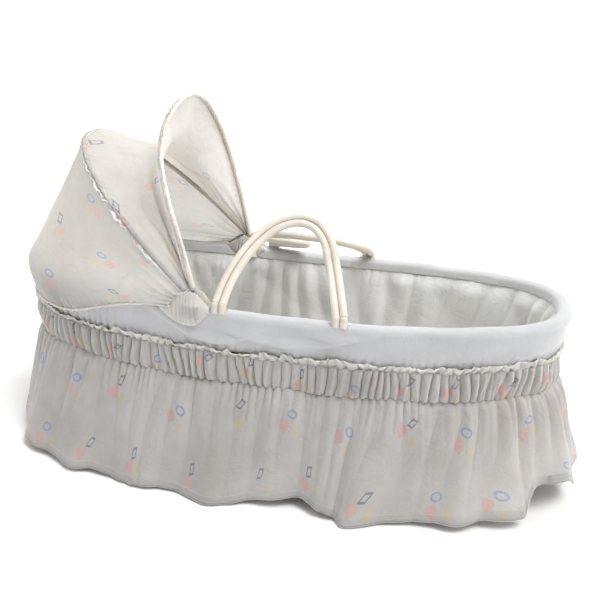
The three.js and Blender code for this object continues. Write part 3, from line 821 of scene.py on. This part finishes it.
def make_skirt():
    """The long gathered skirt, from the waist to its turned-up hem."""
    ring = Ring(1100)
    down = skirt_rows()[None, :]
    waist_z = ring.rim_z - WAIST_DROP - 0.6
    z = mix(waist_z, hem_heights(ring), down)
    spread = 1 - 0.30 * smooth((-300 - ring.x) / 90) + 0.16 * smooth((ring.x - 300) / 90)
    flare = 0.6 + 8.0 * (1 - np.exp(-down / 0.05)) + 37 * spread * down ** 0.85
    out, lean = big_folds(ring)
    fine = gathers(21, ring.share, 164, down * 2)
    middle = gathers(31, ring.share, 66, down * 1.6, drift=0.3, sharpness=0.85)
    wide = gathers(41, ring.share, 29, down, drift=0.3, sharpness=1.5)
    height = (
        6.0 * (fine - 0.55) * (0.5 + 0.5 * smooth(down / 0.02)) * np.exp(-(down / 0.22) ** 1.3)
        + 9.0 * (middle - 0.55) * smooth(down / 0.10) * (1 - 0.72 * smooth(down))
        + 12.0 * (wide - 0.5) * smooth((down - 0.05) / 0.5) * (1 - 0.4 * down)
        + (out + SIDE_FLARE * ring.ny ** 2) * down ** 1.2
        + 1.3 * round_noise(51, ring.share, 60, down * 4) * smooth(down / 0.2)
    )
    shift = lean * down ** 1.3 + 2.5 * round_noise(61, ring.share, 70, down * 2) * down
    z = z + 3.2 * (fine - 0.4) * bell(down, 0.035)
    points = ring.points(WAIST_INSET, z, flare + height, shift)
    points = hemmed(ring, points)
    cut = 2700.0
    length = np.linalg.norm(np.diff(points, axis=1), axis=2).mean(axis=0)
    cloth_v = np.concatenate([[0], np.cumsum(length)])
    cloth_v = cloth_v / cloth_v[down.shape[1] - 1] * HEM_V / MM
    piece = grid_piece("skirt_cloth", points, ring.share * cut, cloth_v, closed=True, out=-1)
    thicken(piece, THIN_CLOTH)
    finish_piece(piece, "basket", "print_cotton", skirt_cotton, "skirt")


def hemmed(ring, points):
    """The cloth turned up inside along its lower edge, 11 mm deep."""
    edge = points[:, -1]
    inward = np.concatenate([-ring.nx, -ring.ny, np.zeros_like(ring.nx)], axis=1)
    above = points[:, -8] - edge
    above = above / np.linalg.norm(above, axis=1, keepdims=True)
    turned = [edge + inward * 1.0 + above * rise for rise in (0.0, 3.0, 11.0)]
    return np.concatenate([points] + [row[:, None] for row in turned], axis=1)


# ---- Shirred band and its ruffle -------------------------------------------------------------

def make_shirred_band():
    """The band gathered between the two elastics."""
    ring = Ring(1300)
    down = steps(20)
    z = ring.rim_z - mix(SEAM_DROP, WAIST_DROP + 1.0, down)
    belly = hump(down) ** 0.6
    folds = gathers(81, ring.share, 150, down * 1.2, drift=0.3, sharpness=0.8)
    pleats = gathers(91, ring.share, 290, down * 1.4, drift=0.25)
    sway = round_noise(101, ring.share, 40, down)
    height = (
        2.0 + 4.0 * belly
        + 10.5 * (folds - 0.55) * (0.45 + 0.55 * belly)
        + 3.6 * (pleats - 0.55) * (1 - 0.4 * belly)
        + 1.6 * sway * belly
    )
    shift = 2.4 * round_noise(111, ring.share, 80, down * 1.3) * belly
    inset = mix(SEAM_INSET, WAIST_INSET, down)
    points = ring.points(inset, z, np.maximum(height, -0.8), shift)
    cut = 3100.0
    piece = grid_piece("shirred_band_cloth", points, ring.share * cut, 200 + 46 * down,
                       closed=True, out=-1)
    sew(piece, "basket", "shirred_band", thickness=THIN_CLOTH)


def make_header_frill():
    """The shirred band's top edge, standing up above its elastic as a narrow ruffle."""
    ring = Ring(1500)
    up = steps(9)
    wave = gathers(121, ring.share, 150, up * 0.6, drift=0.3, sharpness=0.9)
    curl = gathers(131, ring.share, 270, up * 0.5, drift=0.3)
    reach = 9.0 + 3.6 * round_noise(141, ring.share, 140) + 1.8 * round_noise(151, ring.share, 33)
    z = ring.rim_z - (SEAM_DROP + 1.2) + reach * up + 3.0 * (curl - 0.5) * up
    height = 1.2 + 4.2 * smooth(up) + 7.0 * (wave - 0.5) * (0.3 + 0.7 * up) + 2.0 * (curl - 0.5)
    shift = 5.0 * round_noise(161, ring.share, 190, up) * up
    points = ring.points(SEAM_INSET - 1.0, z, np.maximum(height, 0.4), shift)
    cut = 3100.0
    piece = grid_piece("header_frill_cloth", points, ring.share * cut, 198 - 11 * up,
                       closed=True)
    sew(piece, "basket", "header_frill")


# ---- Fold-over band --------------------------------------------------------------------------

# Loose swags of the band near the hood: (first x, last x, drop at the ends, sag, height).
SWAGS = [(-165, 10, 8, 38, 6.0), (-70, 118, 20, 19, 8.0), (40, 150, 10, 13, 4.5)]


def band_profile(rows_out, rows_over, rows_in):
    """Insets and drops of the band's middle, from its seam up, over the rim and down inside."""
    up = np.linspace(0, 1, rows_out, endpoint=False)
    outer = np.stack([mix(SEAM_INSET + 1.4, 0.9, up), mix(SEAM_DROP - 3, 9.0, up)], axis=1)
    angle = np.linspace(0, math.pi, rows_over, endpoint=False)
    over = np.stack([10.4 - 9.6 * np.cos(angle), 9.0 - 8.6 * np.sin(angle) ** 0.85], axis=1)
    inner_drop = np.linspace(9.0, 15.5, rows_in)
    inner = np.stack([np.full_like(inner_drop, 20.2), inner_drop], axis=1)
    return np.concatenate([outer, over, inner])


def make_foldover_band():
    """The plain band from its seam, up over the rim and a little way down inside."""
    ring = Ring(900)
    profile = band_profile(22, 16, 4)
    inset, drop = profile[:, 0][None, :], profile[:, 1][None, :]
    outer = (np.arange(len(profile)) < 24)[None, :] * smooth((drop - 1) / 8)
    height = np.zeros((ring.share.shape[0], profile.shape[0]))
    x = ring.x
    for first, last, at, sag, rise in SWAGS:
        along = np.clip((x - first) / (last - first), 0, 1)
        line = at + sag * hump(along)
        inside = hump(along) ** 0.8 * ring.near
        above = np.clip(line - drop, -40, 40)
        swell = np.where(above > 0, bell(above, 10), bell(above, 2.6))
        height += rise * inside * swell * smooth((56 - drop) / 10)
    slant = ring.run / 17.0 + drop / 26.0 + 1.2 * round_noise(171, ring.share, 30, drop / 30)
    pulls = 0.5 + 0.5 * np.sin(slant)
    at_foot_end = smooth((x - 150) / 140)
    height += (0.5 + 2.6 * at_foot_end) * pulls * smooth(drop / 12) * smooth((58 - drop) / 25)
    height += 1.5 * round_noise(181, ring.share, 48, drop / 22)
    at_hood = smooth((-150 - x) / 60) * smooth((drop - 10) / 20)
    height += 2.2 * gathers(191, ring.share, 150, drop / 50) * (
        smooth((drop - 36) / 20) + 0.8 * at_hood)
    height = height * (0.15 + 0.85 * outer)
    z = ring.rim_z - drop + 0.9 * round_noise(201, ring.share, 40) * smooth((12 - drop) / 10)
    puckers = gathers(211, ring.share, 110) * smooth((drop - 8) / 6) * (inset > 15)
    points = ring.points(inset, z, height - 1.2 * puckers)
    cut = 2050.0
    run = run_along(profile)[None, :]
    piece = grid_piece("foldover_band_cloth", points, ring.share * cut, 400 + run, closed=True)
    thicken(piece, CLOTH)
    finish_piece(piece, "basket", "band_cotton", band_cotton, "foldover_band")


# ---- Lining and mattress ---------------------------------------------------------------------

def make_liner():
    """The lining: gathered walls, and a floor drawn in to the middle."""
    ring = Ring(760)
    wall = steps(34)
    top_z = ring.rim_z - 12.5
    z_wall = mix(top_z, FLOOR_Z + 9, wall)
    inset_wall = mix(18.3, 54.0, wall) - 1.5
    ridge = gathers(221, ring.share, 40, wall * 1.4, drift=0.4, sharpness=1.3)
    small = gathers(231, ring.share, 120, wall * 2, drift=0.3)
    slant = ring.run / 44.0 + wall * 3.2 + 2.0 * round_noise(241, ring.share, 16, wall * 1.5)
    diagonal = np.abs(np.sin(slant)) ** 1.2
    open_up = smooth(wall / 0.12)
    inward = (
        11.0 * ridge * open_up * (1 - 0.55 * wall)
        + 3.5 * small * np.exp(-wall / 0.16) * (0.4 + 0.6 * open_up)
        + 6.0 * diagonal * open_up * (1 - wall)
        + 2.0 * open_up * hump(wall)
    )
    side = ring.points(inset_wall, z_wall, -inward * (1 - smooth((wall - 0.93) / 0.07)))
    floor = np.linspace(0, 1, 22)[None, 1:]
    scale = 1 - floor
    x, y = outline_xy(53.0, ring.turn)
    floor_z = FLOOR_Z + 9 * (1 - smooth(floor * 14))
    ground = xyz(x * scale, y * scale, floor_z)
    points = np.concatenate([side, ground], axis=1)
    depth = np.concatenate([wall[0] * 190, 190 + floor[0] * 115])[None, :]
    cut = 2300.0
    piece = grid_piece("liner_cloth", points, ring.share * cut, 700 + depth, closed=True)
    merge_close(piece)
    thicken(piece, CLOTH)
    finish_piece(piece, "basket", "lining", lining_cotton, "liner")


def merge_close(piece):
    """Joins the points that meet at a grid's middle."""
    work = bmesh.new()
    work.from_mesh(piece.data)
    bmesh.ops.remove_doubles(work, verts=work.verts, dist=MERGE * MM)
    work.to_mesh(piece.data)
    work.free()
    piece.data.polygons.foreach_set("use_smooth", [True] * len(piece.data.polygons))
    return piece


MERGE = 0.02                # millimetres within which a grid's points are one
PAD_BOTTOM = 58.2
PAD_TOP = 91.0
PAD_INSET = 61.0
PIPING_R = 1.7
PIPING_RISE = 0.34          # share of the pad's half height
QUILT = 52.0                # spacing of the pad's diamond quilting


def make_mattress():
    """The quilted pad, with piping along its two edges."""
    ring = Ring(420)
    scale = np.concatenate([np.linspace(0, 0.9, 56), np.linspace(0.915, 1.0, 12)])[None, :]
    x, y = outline_xy(PAD_INSET, ring.turn)
    px, py = x * scale, y * scale
    edge = np.sqrt(np.clip(1 - ((scale - 0.90) / 0.10).clip(0, 1) ** 2, 0, 1))
    tuft = np.abs(np.sin(math.pi * (px + py) / QUILT) * np.sin(math.pi * (px - py) / QUILT)) ** 0.45
    middle = (PAD_TOP + PAD_BOTTOM) / 2
    half = (PAD_TOP - PAD_BOTTOM) / 2
    crown = half * (0.30 + 0.70 * edge)
    worn = 1.2 * noise(251, px / 60 + 20, py / 60 + 20)
    top = middle + crown - 5.0 * (1 - tuft) * smooth((1 - scale) / 0.06) + worn * (1 - scale)
    bottom = middle - crown
    rows = np.concatenate([
        xyz(px, py, top),
        xyz(px, py, bottom)[:, ::-1],
    ], axis=1)
    run = np.concatenate([scale[0] * 200, 420 - scale[0][::-1] * 200])[None, :]
    cut = 1700.0
    piece = grid_piece("mattress_pad", rows, ring.share * cut, run, closed=True, out=-1)
    merge_close(piece)
    finish_piece(piece, "mattress", "mattress_cover", mattress_cotton, "mattress")
    for name, side in (("upper", 1), ("lower", -1)):
        z = middle + side * half * PIPING_RISE
        piping = ring_tube(f"mattress_piping_{name}", ring, PAD_INSET - 0.4, z, PIPING_R)
        finish_piece(piping, "mattress", "mattress_cover", mattress_cotton)


def ring_tube(name, ring, inset, z, radius, sides=10):
    """A closed round cord along the outline."""
    angle = np.linspace(0, 2 * math.pi, sides + 1)[None, :]
    points = ring.points(inset, z + radius * np.sin(angle), radius * np.cos(angle))
    return wrapped_grid_piece(name, points, ring.share * 1900.0, 2 * math.pi * radius)


# ---- Hood ------------------------------------------------------------------------------------

PIVOT_Z = RIM_Z + sheer_at(PIVOT_X) + PIVOT_RISE


def arch(bow, t, out=0.0, ahead=0.0):
    """Points on a bow's arch; out is off the wire in the arch's plane, ahead is square to it."""
    power = 2 / ARCH_POWER
    y = -bow["width"] * signed_power(np.cos(t), power)
    rise = bow["height"] * signed_power(np.sin(t), power)
    ny = -signed_power(np.cos(t), 2 - power) / bow["width"]
    nr = signed_power(np.sin(t), 2 - power) / bow["height"]
    size = np.hypot(ny, nr)
    lean = math.radians(bow["lean"])
    up = rise + out * nr / size
    bowed = np.where(t < math.pi / 2, bow["bend"] * np.sin(2 * t) ** 2, 0)
    forward = ahead - bowed
    x = PIVOT_X - up * math.sin(lean) + forward * math.cos(lean)
    z = PIVOT_Z + up * math.cos(lean) + forward * math.sin(lean)
    return xyz(x, y + out * ny / size, z)


def even_along(curve, dense, count):
    """Values of a curve's parameter spaced evenly by length, and the curve's length."""
    run = run_along(curve(dense))
    return np.interp(np.linspace(0, run[-1], count + 1), run, dense), float(run[-1])


def even_angles(bow, rise, count):
    """Arch angles spaced evenly by length, starting at a rise above the pivots."""
    start = math.asin((rise / bow["height"]) ** (ARCH_POWER / 2))
    dense = np.linspace(start, math.pi - start, 4001)
    return even_along(lambda t: arch(bow, t), dense, count)


ROOF_SAG = 60.0             # how far the roof dips towards the pivots, at its middle
FRONT_SEAM = (3.6, -3.2)    # off the front bow's wire, and ahead of it
REAR_SEAM_AHEAD = 0.8       # how far either panel's edge lies from the rear bow's middle


def make_hood_roof():
    """The panel between the two bows, sagging towards the pivots."""
    t, length = even_angles(REAR_BOW, PANEL_FOOT, 260)
    t = t[:, None]
    share = np.linspace(0, 1, 261)[:, None]
    back = steps(70)
    front = arch(FRONT_BOW, t[:, 0], *FRONT_SEAM)[:, None]
    rear = arch(REAR_BOW, t[:, 0], PANEL_OUT, REAR_SEAM_AHEAD)[:, None]
    points = mix(front, rear, back[..., None])
    pivot = np.array([PIVOT_X, 0, PIVOT_Z])
    inward = pivot - points
    inward = inward / np.linalg.norm(inward, axis=-1, keepdims=True)
    skew = back ** 0.8 + 0.06 * hump(back) * np.cos(t)
    sag = ROOF_SAG * hump(skew.clip(0, 1)) ** 0.95 * np.sin(t) ** 0.7
    points = points + inward * sag[..., None]
    foot = np.minimum(share, 1 - share)
    rays = np.abs(np.sin(math.pi * (5.5 * back + 0.8 * noise(261, share * 9, back * 3)))) ** 0.9
    edge = np.minimum(back, 1 - back)
    pucker = gathers(271, share, 62, back * 2)
    drape = noise(281, share * 7 + 3, back * 2.2) + 0.5 * noise(291, share * 17, back * 5)
    held = smooth(edge / 0.06)
    height = held * (5.5 * (rays - 0.5) * bell(foot, 0.17) + 5.0 * drape * smooth(foot / 0.12))
    height += 6.5 * bell(back - mix(0.36, 0.5, smooth(share * 2)), 0.07) * bell(share - 0.2, 0.17)
    height += 1.7 * (pucker - 0.6) * np.exp(-(edge / 0.11) ** 1.3)
    points = relief(points, height * 0.9)
    piece = grid_piece("hood_roof_cloth", points, share * length * 0.78, 900 + back * 150)
    sew(piece, None, "hood_roof")
    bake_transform(piece)


def hood_hem(share, inset, drop):
    """The hood's hem round the head end: from the near clip to the far one."""
    half = math.acos((-HEM_HOOD_X / HALF_LENGTH) ** (SQUARENESS / 2))
    turn = math.pi + half * (1 - 2 * share)
    depth = drop * smooth(np.minimum(share, 1 - share) / HEM_HOOD_RUN)
    x, y = outline_xy(inset + HOOD_TUCK * depth, turn)
    return xyz(x, y, RIM_Z + sheer_at(x) - depth)


def even_hem(count):
    """Shares of the hem spaced evenly by length."""
    return even_along(lambda share: hood_hem(share, 0, 0), np.linspace(0, 1, 4001), count)[0]


HOOD_HEM_DROP = 47.0
HEM_HOOD_RUN = 0.23         # share of the hem over which it drops from a pivot
HOOD_TUCK = 0.17            # how fast the hem draws in under the rim as it drops
KNEE = 0.74                 # shares of the way down at which the back panel passes the rim
BELLY = 0.88                # and stands out furthest below it


def make_hood_back():
    """The panel from the rear bow down to the gathered hem round the head end."""
    t, length = even_angles(REAR_BOW, PANEL_FOOT, 300)
    hem_share = even_hem(300)
    share = np.linspace(0, 1, 301)[:, None]
    bow = arch(REAR_BOW, t, PANEL_OUT, -REAR_SEAM_AHEAD)[:, None]
    knee = hood_hem(hem_share, -8.5, 0)[:, None]
    knee[..., 2] += 7
    belly = hood_hem(hem_share, -12.5, HOOD_HEM_DROP * 0.5)[:, None]
    tuck = hood_hem(hem_share, -3.8, HOOD_HEM_DROP)[:, None]
    down = np.linspace(0, 1, 64)[None, :, None]
    stations = [(0.0, bow), (KNEE, knee), (BELLY, belly), (1.0, tuck)]
    points = np.zeros((301, 64, 3))
    for (a, first), (b, second) in zip(stations[:-1], stations[1:]):
        here = (down >= a) & (down <= b)
        points = np.where(here, mix(first, second, (down - a) / (b - a)), points)
    points = soften(points, 40)
    down = down[..., 0]
    from_bow, from_hem = down, 1 - down
    foot = np.minimum(share, 1 - share)
    rays = np.abs(np.sin(math.pi * (5 * down + 0.8 * noise(301, share * 8, down * 3)))) ** 0.9
    drape = noise(311, share * 8 + 5, down * 2.4) + 0.5 * noise(321, share * 19, down * 5)
    gathered = gathers(331, share, 84, down * 3, drift=0.3)
    seam = gathers(341, share, 70, down * 2, drift=0.3)
    held = smooth(from_bow / 0.05) * smooth(from_hem / 0.05)
    height = held * (2.6 * (rays - 0.5) * bell(foot, 0.14) + 4.0 * drape * smooth(foot / 0.1))
    height += 3.4 * (gathered - 0.6) * np.exp(-(from_hem / 0.14) ** 1.4)
    height += 1.6 * (seam - 0.6) * np.exp(-(from_bow / 0.09) ** 1.3)
    height += 8.0 * held * hump(np.clip(down / KNEE, 0, 1)) * smooth(foot / 0.15)
    points = relief(points, -height)
    piece = grid_piece("hood_back_cloth", points, share * length * 0.92, 1120 + down * 270)
    sew(piece, None, "hood_back")
    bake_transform(piece)


def make_hood_hem():
    """The hood's elastic casing: a ruched tube along the hem."""
    share = even_hem(700)
    share = share[3:-3]
    even = np.linspace(0, 1, len(share))[:, None]
    angle = np.linspace(0, 2 * math.pi, 15)[None, :]
    ruche = gathers(351, even, 105, angle / 3, drift=0.3)
    path = hood_hem(share, -4.6, HOOD_HEM_DROP)
    radius = 1.9 + 1.5 * (ruche - 0.3)
    piece = tube("hood_hem_casing", path, radius, sides=14)
    finish_piece(piece, "basket", "print_cotton", print_cotton, "hood_hem_elastic")


def make_front_binding():
    """The hood's front edge: gathered print cotton bound round the front bow."""
    t = even_angles(FRONT_BOW, PANEL_FOOT - 4, 620)[0]
    even = np.linspace(0, 1, 621)[:, None]
    angle = np.linspace(0, 2 * math.pi, 19)[None, :]
    ruche = gathers(361, even, 88, angle / 4, drift=0.35)
    uneven = noise(371, even * 30, angle)
    radius = 3.9 + 0.7 * (ruche - 0.55) + 0.35 * uneven
    radius[:, -1] = radius[:, 0]
    piece = tube("hood_front_binding", arch(FRONT_BOW, t), radius, sides=18)
    finish_piece(piece, "front_bow", "print_cotton", print_cotton, "front_binding")


def make_rear_casing():
    """The narrow cloth casing that holds the rear bow inside the hood."""
    t = even_angles(REAR_BOW, PANEL_FOOT - 2, 420)[0]
    even = np.linspace(0, 1, 421)[:, None]
    angle = np.linspace(0, 2 * math.pi, 15)[None, :]
    ruche = gathers(381, even, 60, angle / 4, drift=0.3)
    radius = 3.3 + 0.8 * (ruche - 0.5)
    radius[:, -1] = radius[:, 0]
    piece = tube("hood_rear_casing", arch(REAR_BOW, t), radius, sides=14)
    finish_piece(piece, "rear_bow", "print_cotton", print_cotton)


# The pocket of cloth over each hood clip is an outer and an inner flap, open between them for
# the bows. Each is given as (distance from the middle line, height over the rim), raised over
# the clip and then resting on the rim.
OUTER_RAISED = [(169.6, -25), (173.6, -17), (174.6, -6), (173, 6), (170.6, 15), (168.8, 22)]
OUTER_RESTING = [(168.8, -5), (169, -4), (168.9, -2.8), (168.5, -1.6), (167.8, -0.4), (167, 0.5)]
INNER_RAISED = [(146, -15), (143.4, -9), (142.4, -2), (143, 6), (145, 13), (147, 18)]
INNER_RESTING = [(149.6, -5), (149.3, -4), (149.2, -3), (149.4, -2.2), (149.9, -1.4),
                 (150.6, -0.6)]
FLAP_HALF = 34.0            # half a flap's length along the rim
FLAP_BACK = 9.0             # how far its middle lies behind the pivot


def make_pivot_flaps():
    """Gathered cloth in front of and behind each hood clip."""
    for name, side in SIDES:
        for flap, face, raised, resting in (("outer", 1, OUTER_RAISED, OUTER_RESTING),
                                            ("inner", -1, INNER_RAISED, INNER_RESTING)):
            along = np.linspace(-1, 1, 101)[:, None]
            middle = FLAP_BACK / FLAP_HALF
            span = np.where(along > middle, (along - middle) / (1 - middle),
                            (along - middle) / (1 + middle))
            lift = np.clip(1 - span ** 2, 0, 1) ** 1.1
            section = mix(smooth_path(resting, 40)[None], smooth_path(raised, 40)[None],
                          lift[..., None])
            over = steps(40)
            folds = gathers(600 + side, 0.5 + along / 4, 22, over * 1.2, drift=0.5)
            soft = noise(640 + side, along * 3, over * 4)
            out = face * (2.2 * (folds - 0.3) + 1.2 * soft) * lift
            x = PIVOT_X - FLAP_BACK + FLAP_HALF * along + 0 * over
            y = side * (section[..., 0] + out)
            z = RIM_Z + sheer_at(PIVOT_X) + section[..., 1]
            points = xyz(x, y, z)
            piece = grid_piece(f"hood_flap_{name}_{flap}", points, 42 * along + 700,
                               60 + 48 * over)
            sew(piece, "basket")


def bow_ruffle(name, bow, body, count, reach, swing, seed, ahead, nodes=()):
    """A narrow ruffle that stands off a bow, in the bow's plane, waving to and fro."""
    t, length = even_angles(bow, PANEL_FOOT, count)
    even = np.linspace(0, 1, count + 1)[:, None]
    off = steps(8)
    folds = gathers(seed, even, int(length / 17), off, drift=0.4, sharpness=1.6)
    curl = gathers(seed + 10, even, int(length / 9), off, drift=0.35, sharpness=1.4)
    at_foot = smooth(np.minimum(even, 1 - even) / 0.09)
    height = reach(even) * (0.85 + 0.5 * noise(seed + 20, even * 40)) * (0.1 + 0.9 * at_foot)
    swing = swing * (1 + 0.7 * noise(seed + 30, even * 14)) * (0.15 + 0.85 * at_foot)
    sway = (swing * (folds - 0.5) + 1.4 * (curl - 0.5)) * (0.4 + 0.6 * off)
    points = arch(bow, t[:, None], PANEL_OUT - 1.5 + height * off, ahead + sway)
    piece = grid_piece(name, points, even * length * 1.7, 1500 + off * 9)
    sew(piece, body, *nodes)


def make_handles():
    """Two ropes side by side for each handle, leaning in over the basket."""
    for (name, side), route, lean in zip(SIDES, (NEAR_ROUTE, FAR_ROUTE), (NEAR_LEAN, FAR_LEAN)):
        centre = smooth_path(route, 240)
        direction = np.gradient(centre, axis=0)
        direction /= np.linalg.norm(direction, axis=1, keepdims=True)
        square = np.stack([-direction[:, 1], direction[:, 0]], axis=1)
        tilt = math.radians(lean)
        for cord, offset in (("outer", CORD_PITCH / 2), ("inner", -CORD_PITCH / 2)):
            flat = centre + square * offset
            x, rise = flat[:, 0], flat[:, 1]
            path = xyz(x, side * (HINGE_Y - rise * math.sin(tilt)),
                       HINGE_Z + rise * math.cos(tilt))
            soft = ROPE_R + 0.12 * noise(400 + side + int(offset), np.linspace(0, 30, 240))
            piece = tube(f"handle_{name}_rope_{cord}", path, soft[:, None], sides=24)
            finish_piece(piece, f"{name}_handle", "rope", rope_cotton,
                         f"handle_{name}_cord_{cord}")
            for end, top in (("first", path[0]), ("last", path[-1])):
                make_handle_foot(name, end, cord, top, side)


STUB_FOOT_Z = 258.0         # inside the rim, where each cord's fixed foot starts


def make_handle_foot(name, end, cord, top, side):
    """The short fixed end of a cord, from inside the rim up to its hinge, with a round top."""
    rise = np.linspace(0, HINGE_Z - STUB_FOOT_Z + ROPE_R - 0.05, 26)
    above = np.clip(rise - (HINGE_Z - STUB_FOOT_Z), 0, None)
    radius = np.sqrt(np.clip(ROPE_R ** 2 - above ** 2, 0.04, None))
    path = xyz(top[0], side * HINGE_Y, STUB_FOOT_Z + rise)
    piece = tube(f"handle_{name}_foot_{end}_{cord}", path, radius[:, None], sides=24)
    finish_piece(piece, "basket", "rope", rope_cotton)


EYELETS = (("head", -68.0), ("foot", 94.0))
SLOT_HALF = (13.2, 4.3)     # half the length and the width of a slot's stitching
SLOT_INSET = 8.5


def make_eyelets():
    """Stitched slots in the band, with a raised rim of thread, where the ropes go in."""
    for name, side in SIDES:
        for end, x in EYELETS:
            turn = np.linspace(0, 2 * math.pi, 97)[:, None]
            angle = 2 * math.pi * steps(9)
            thread = 0.75 + 0.16 * np.abs(np.sin(turn * 44))
            ring_x = x + (SLOT_HALF[0] + thread * np.cos(angle)) * np.cos(turn)
            ring_y = (SLOT_HALF[1] + thread * np.cos(angle)) * np.sin(turn)
            ring_y = (HALF_WIDTH - SLOT_INSET) + ring_y
            ring_z = RIM_Z + sheer_at(x) + 0.7 + thread * 0.8 * np.sin(angle) + 0 * turn
            points = xyz(ring_x, side * ring_y, ring_z)
            piece = wrapped_grid_piece(f"eyelet_stitching_{name}_{end}", points, turn * 14, 5.0)
            finish_piece(piece, "basket", "band_cotton", band_cotton,
                         f"handle_eyelet_{name}_{end}")


make_skirt()
make_shirred_band()
make_header_frill()
make_foldover_band()
make_liner()
make_mattress()
make_hood_roof()
make_hood_back()
make_hood_hem()
make_front_binding()
make_rear_casing()
make_pivot_flaps()
bow_ruffle("hood_rear_frill", REAR_BOW, "rear_bow", 900,
           lambda s: 2.6 + 4.2 * smooth((np.abs(s - 0.47) - 0.1) / 0.14), 3.6, 500, -1.0,
           ("rear_frill",))
bow_ruffle("hood_front_ruffle", FRONT_BOW, "front_bow", 900,
           lambda s: 1.5 + 6.5 * smooth((s - 0.68) / 0.16), 3.2, 540, 1.0)
make_handles()
make_eyelets()


# ---- Floor, light and camera -----------------------------------------------------------------

FLOOR_HALF = 9.0            # metres
CENTRE = (0, 0, 0.2)
WORLD_LIGHT = 0.86          # what the white surroundings give
WORLD_SEEN = 1.05           # how bright they look to the camera
SUN_STRENGTH = 2.0
SUN_SPREAD = 28.0           # degrees
SUN_FROM = (0.46, -0.34, 1.0)
AREA_LIGHTS = (             # name, place, what it points at, size, watts, colour
    ("foot end", (2.1, -0.9, 0.85), CENTRE, (1.0, 0.8), 6, (1.0, 0.995, 0.98)),
    ("over the basket", (0.12, 0.08, 0.95), (0.12, 0.05, 0.2), (0.5, 0.25), 2.7, (1, 1, 1)),
)


def make_floor():
    finish = Finish("pale floor", 0.9)
    tone = finish.noise(finish.space(), 1.5, 2.0)
    mesh = bpy.data.meshes.new("floor")
    corners = ((-1, -1), (1, -1), (1, 1), (-1, 1))
    mesh.from_pydata([(x * FLOOR_HALF, y * FLOOR_HALF, 0) for x, y in corners], [], [range(4)])
    mesh.materials.append(finish.made(
        tone.ramp([(0.3, (0.93, 0.93, 0.925)), (0.7, (0.95, 0.95, 0.945))])))
    floor = add("floor", mesh)


def make_light():
    world = bpy.data.worlds.new("studio")
    world.use_nodes = True
    background = world.node_tree.nodes["Background"]
    background.inputs["Color"].default_value = (0.99, 0.99, 1.0, 1)
    path = world.node_tree.nodes.new("ShaderNodeLightPath")
    seen = world.node_tree.nodes.new("ShaderNodeMapRange")
    seen.inputs["To Min"].default_value = WORLD_LIGHT
    seen.inputs["To Max"].default_value = WORLD_SEEN
    world.node_tree.links.new(path.outputs["Is Camera Ray"], seen.inputs["Value"])
    world.node_tree.links.new(seen.outputs["Result"], background.inputs["Strength"])
    bpy.context.scene.world = world
    sun = bpy.data.lights.new("overhead", "SUN")
    sun.energy = SUN_STRENGTH
    sun.angle = math.radians(SUN_SPREAD)
    sun.color = (1.0, 0.99, 0.975)
    add("overhead", sun).rotation_euler = Vector(SUN_FROM).to_track_quat("Z", "Y").to_euler()
    for name, place, target, size, power, colour in AREA_LIGHTS:
        data = bpy.data.lights.new(name, "AREA")
        data.shape = "RECTANGLE"
        data.size, data.size_y = size
        data.energy = power
        data.color = colour
        light = add(name, data)
        light.location = place
        away = Vector(target) - Vector(place)
        light.rotation_euler = away.to_track_quat("-Z", "Y").to_euler()


CAMERA_TARGET = Vector((0, 0, 0.256))
CAMERA_DISTANCE = 1.2
CAMERA_AZIMUTH = 10.62      # degrees, from the near side towards the foot end
CAMERA_ELEVATION = 18.05
CAMERA_ROLL = 3.0
CAMERA_LENS = 48.0
CAMERA_SHIFT = (0.0112, -0.0273)


def make_camera():
    azimuth, elevation, roll = (
        math.radians(a) for a in (CAMERA_AZIMUTH, CAMERA_ELEVATION, CAMERA_ROLL))
    back = Vector((math.sin(azimuth) * math.cos(elevation),
                   -math.cos(azimuth) * math.cos(elevation), math.sin(elevation)))
    right = Vector((0, 0, 1)).cross(back).normalized()
    up = back.cross(right)
    turned_right = right * math.cos(roll) + up * math.sin(roll)
    turned_up = up * math.cos(roll) - right * math.sin(roll)
    data = bpy.data.cameras.new("camera")
    data.lens = CAMERA_LENS
    data.sensor_width = 36.0
    data.shift_x, data.shift_y = CAMERA_SHIFT
    data.clip_start = 0.05
    camera = add("camera", data)
    turn = Matrix((turned_right, turned_up, back)).transposed().to_4x4()
    camera.matrix_world = Matrix.Translation(CAMERA_TARGET + back * CAMERA_DISTANCE) @ turn
    bpy.context.scene.camera = camera


make_floor()
make_light()
make_camera()
bpy.context.scene.view_settings.view_transform = "Standard"
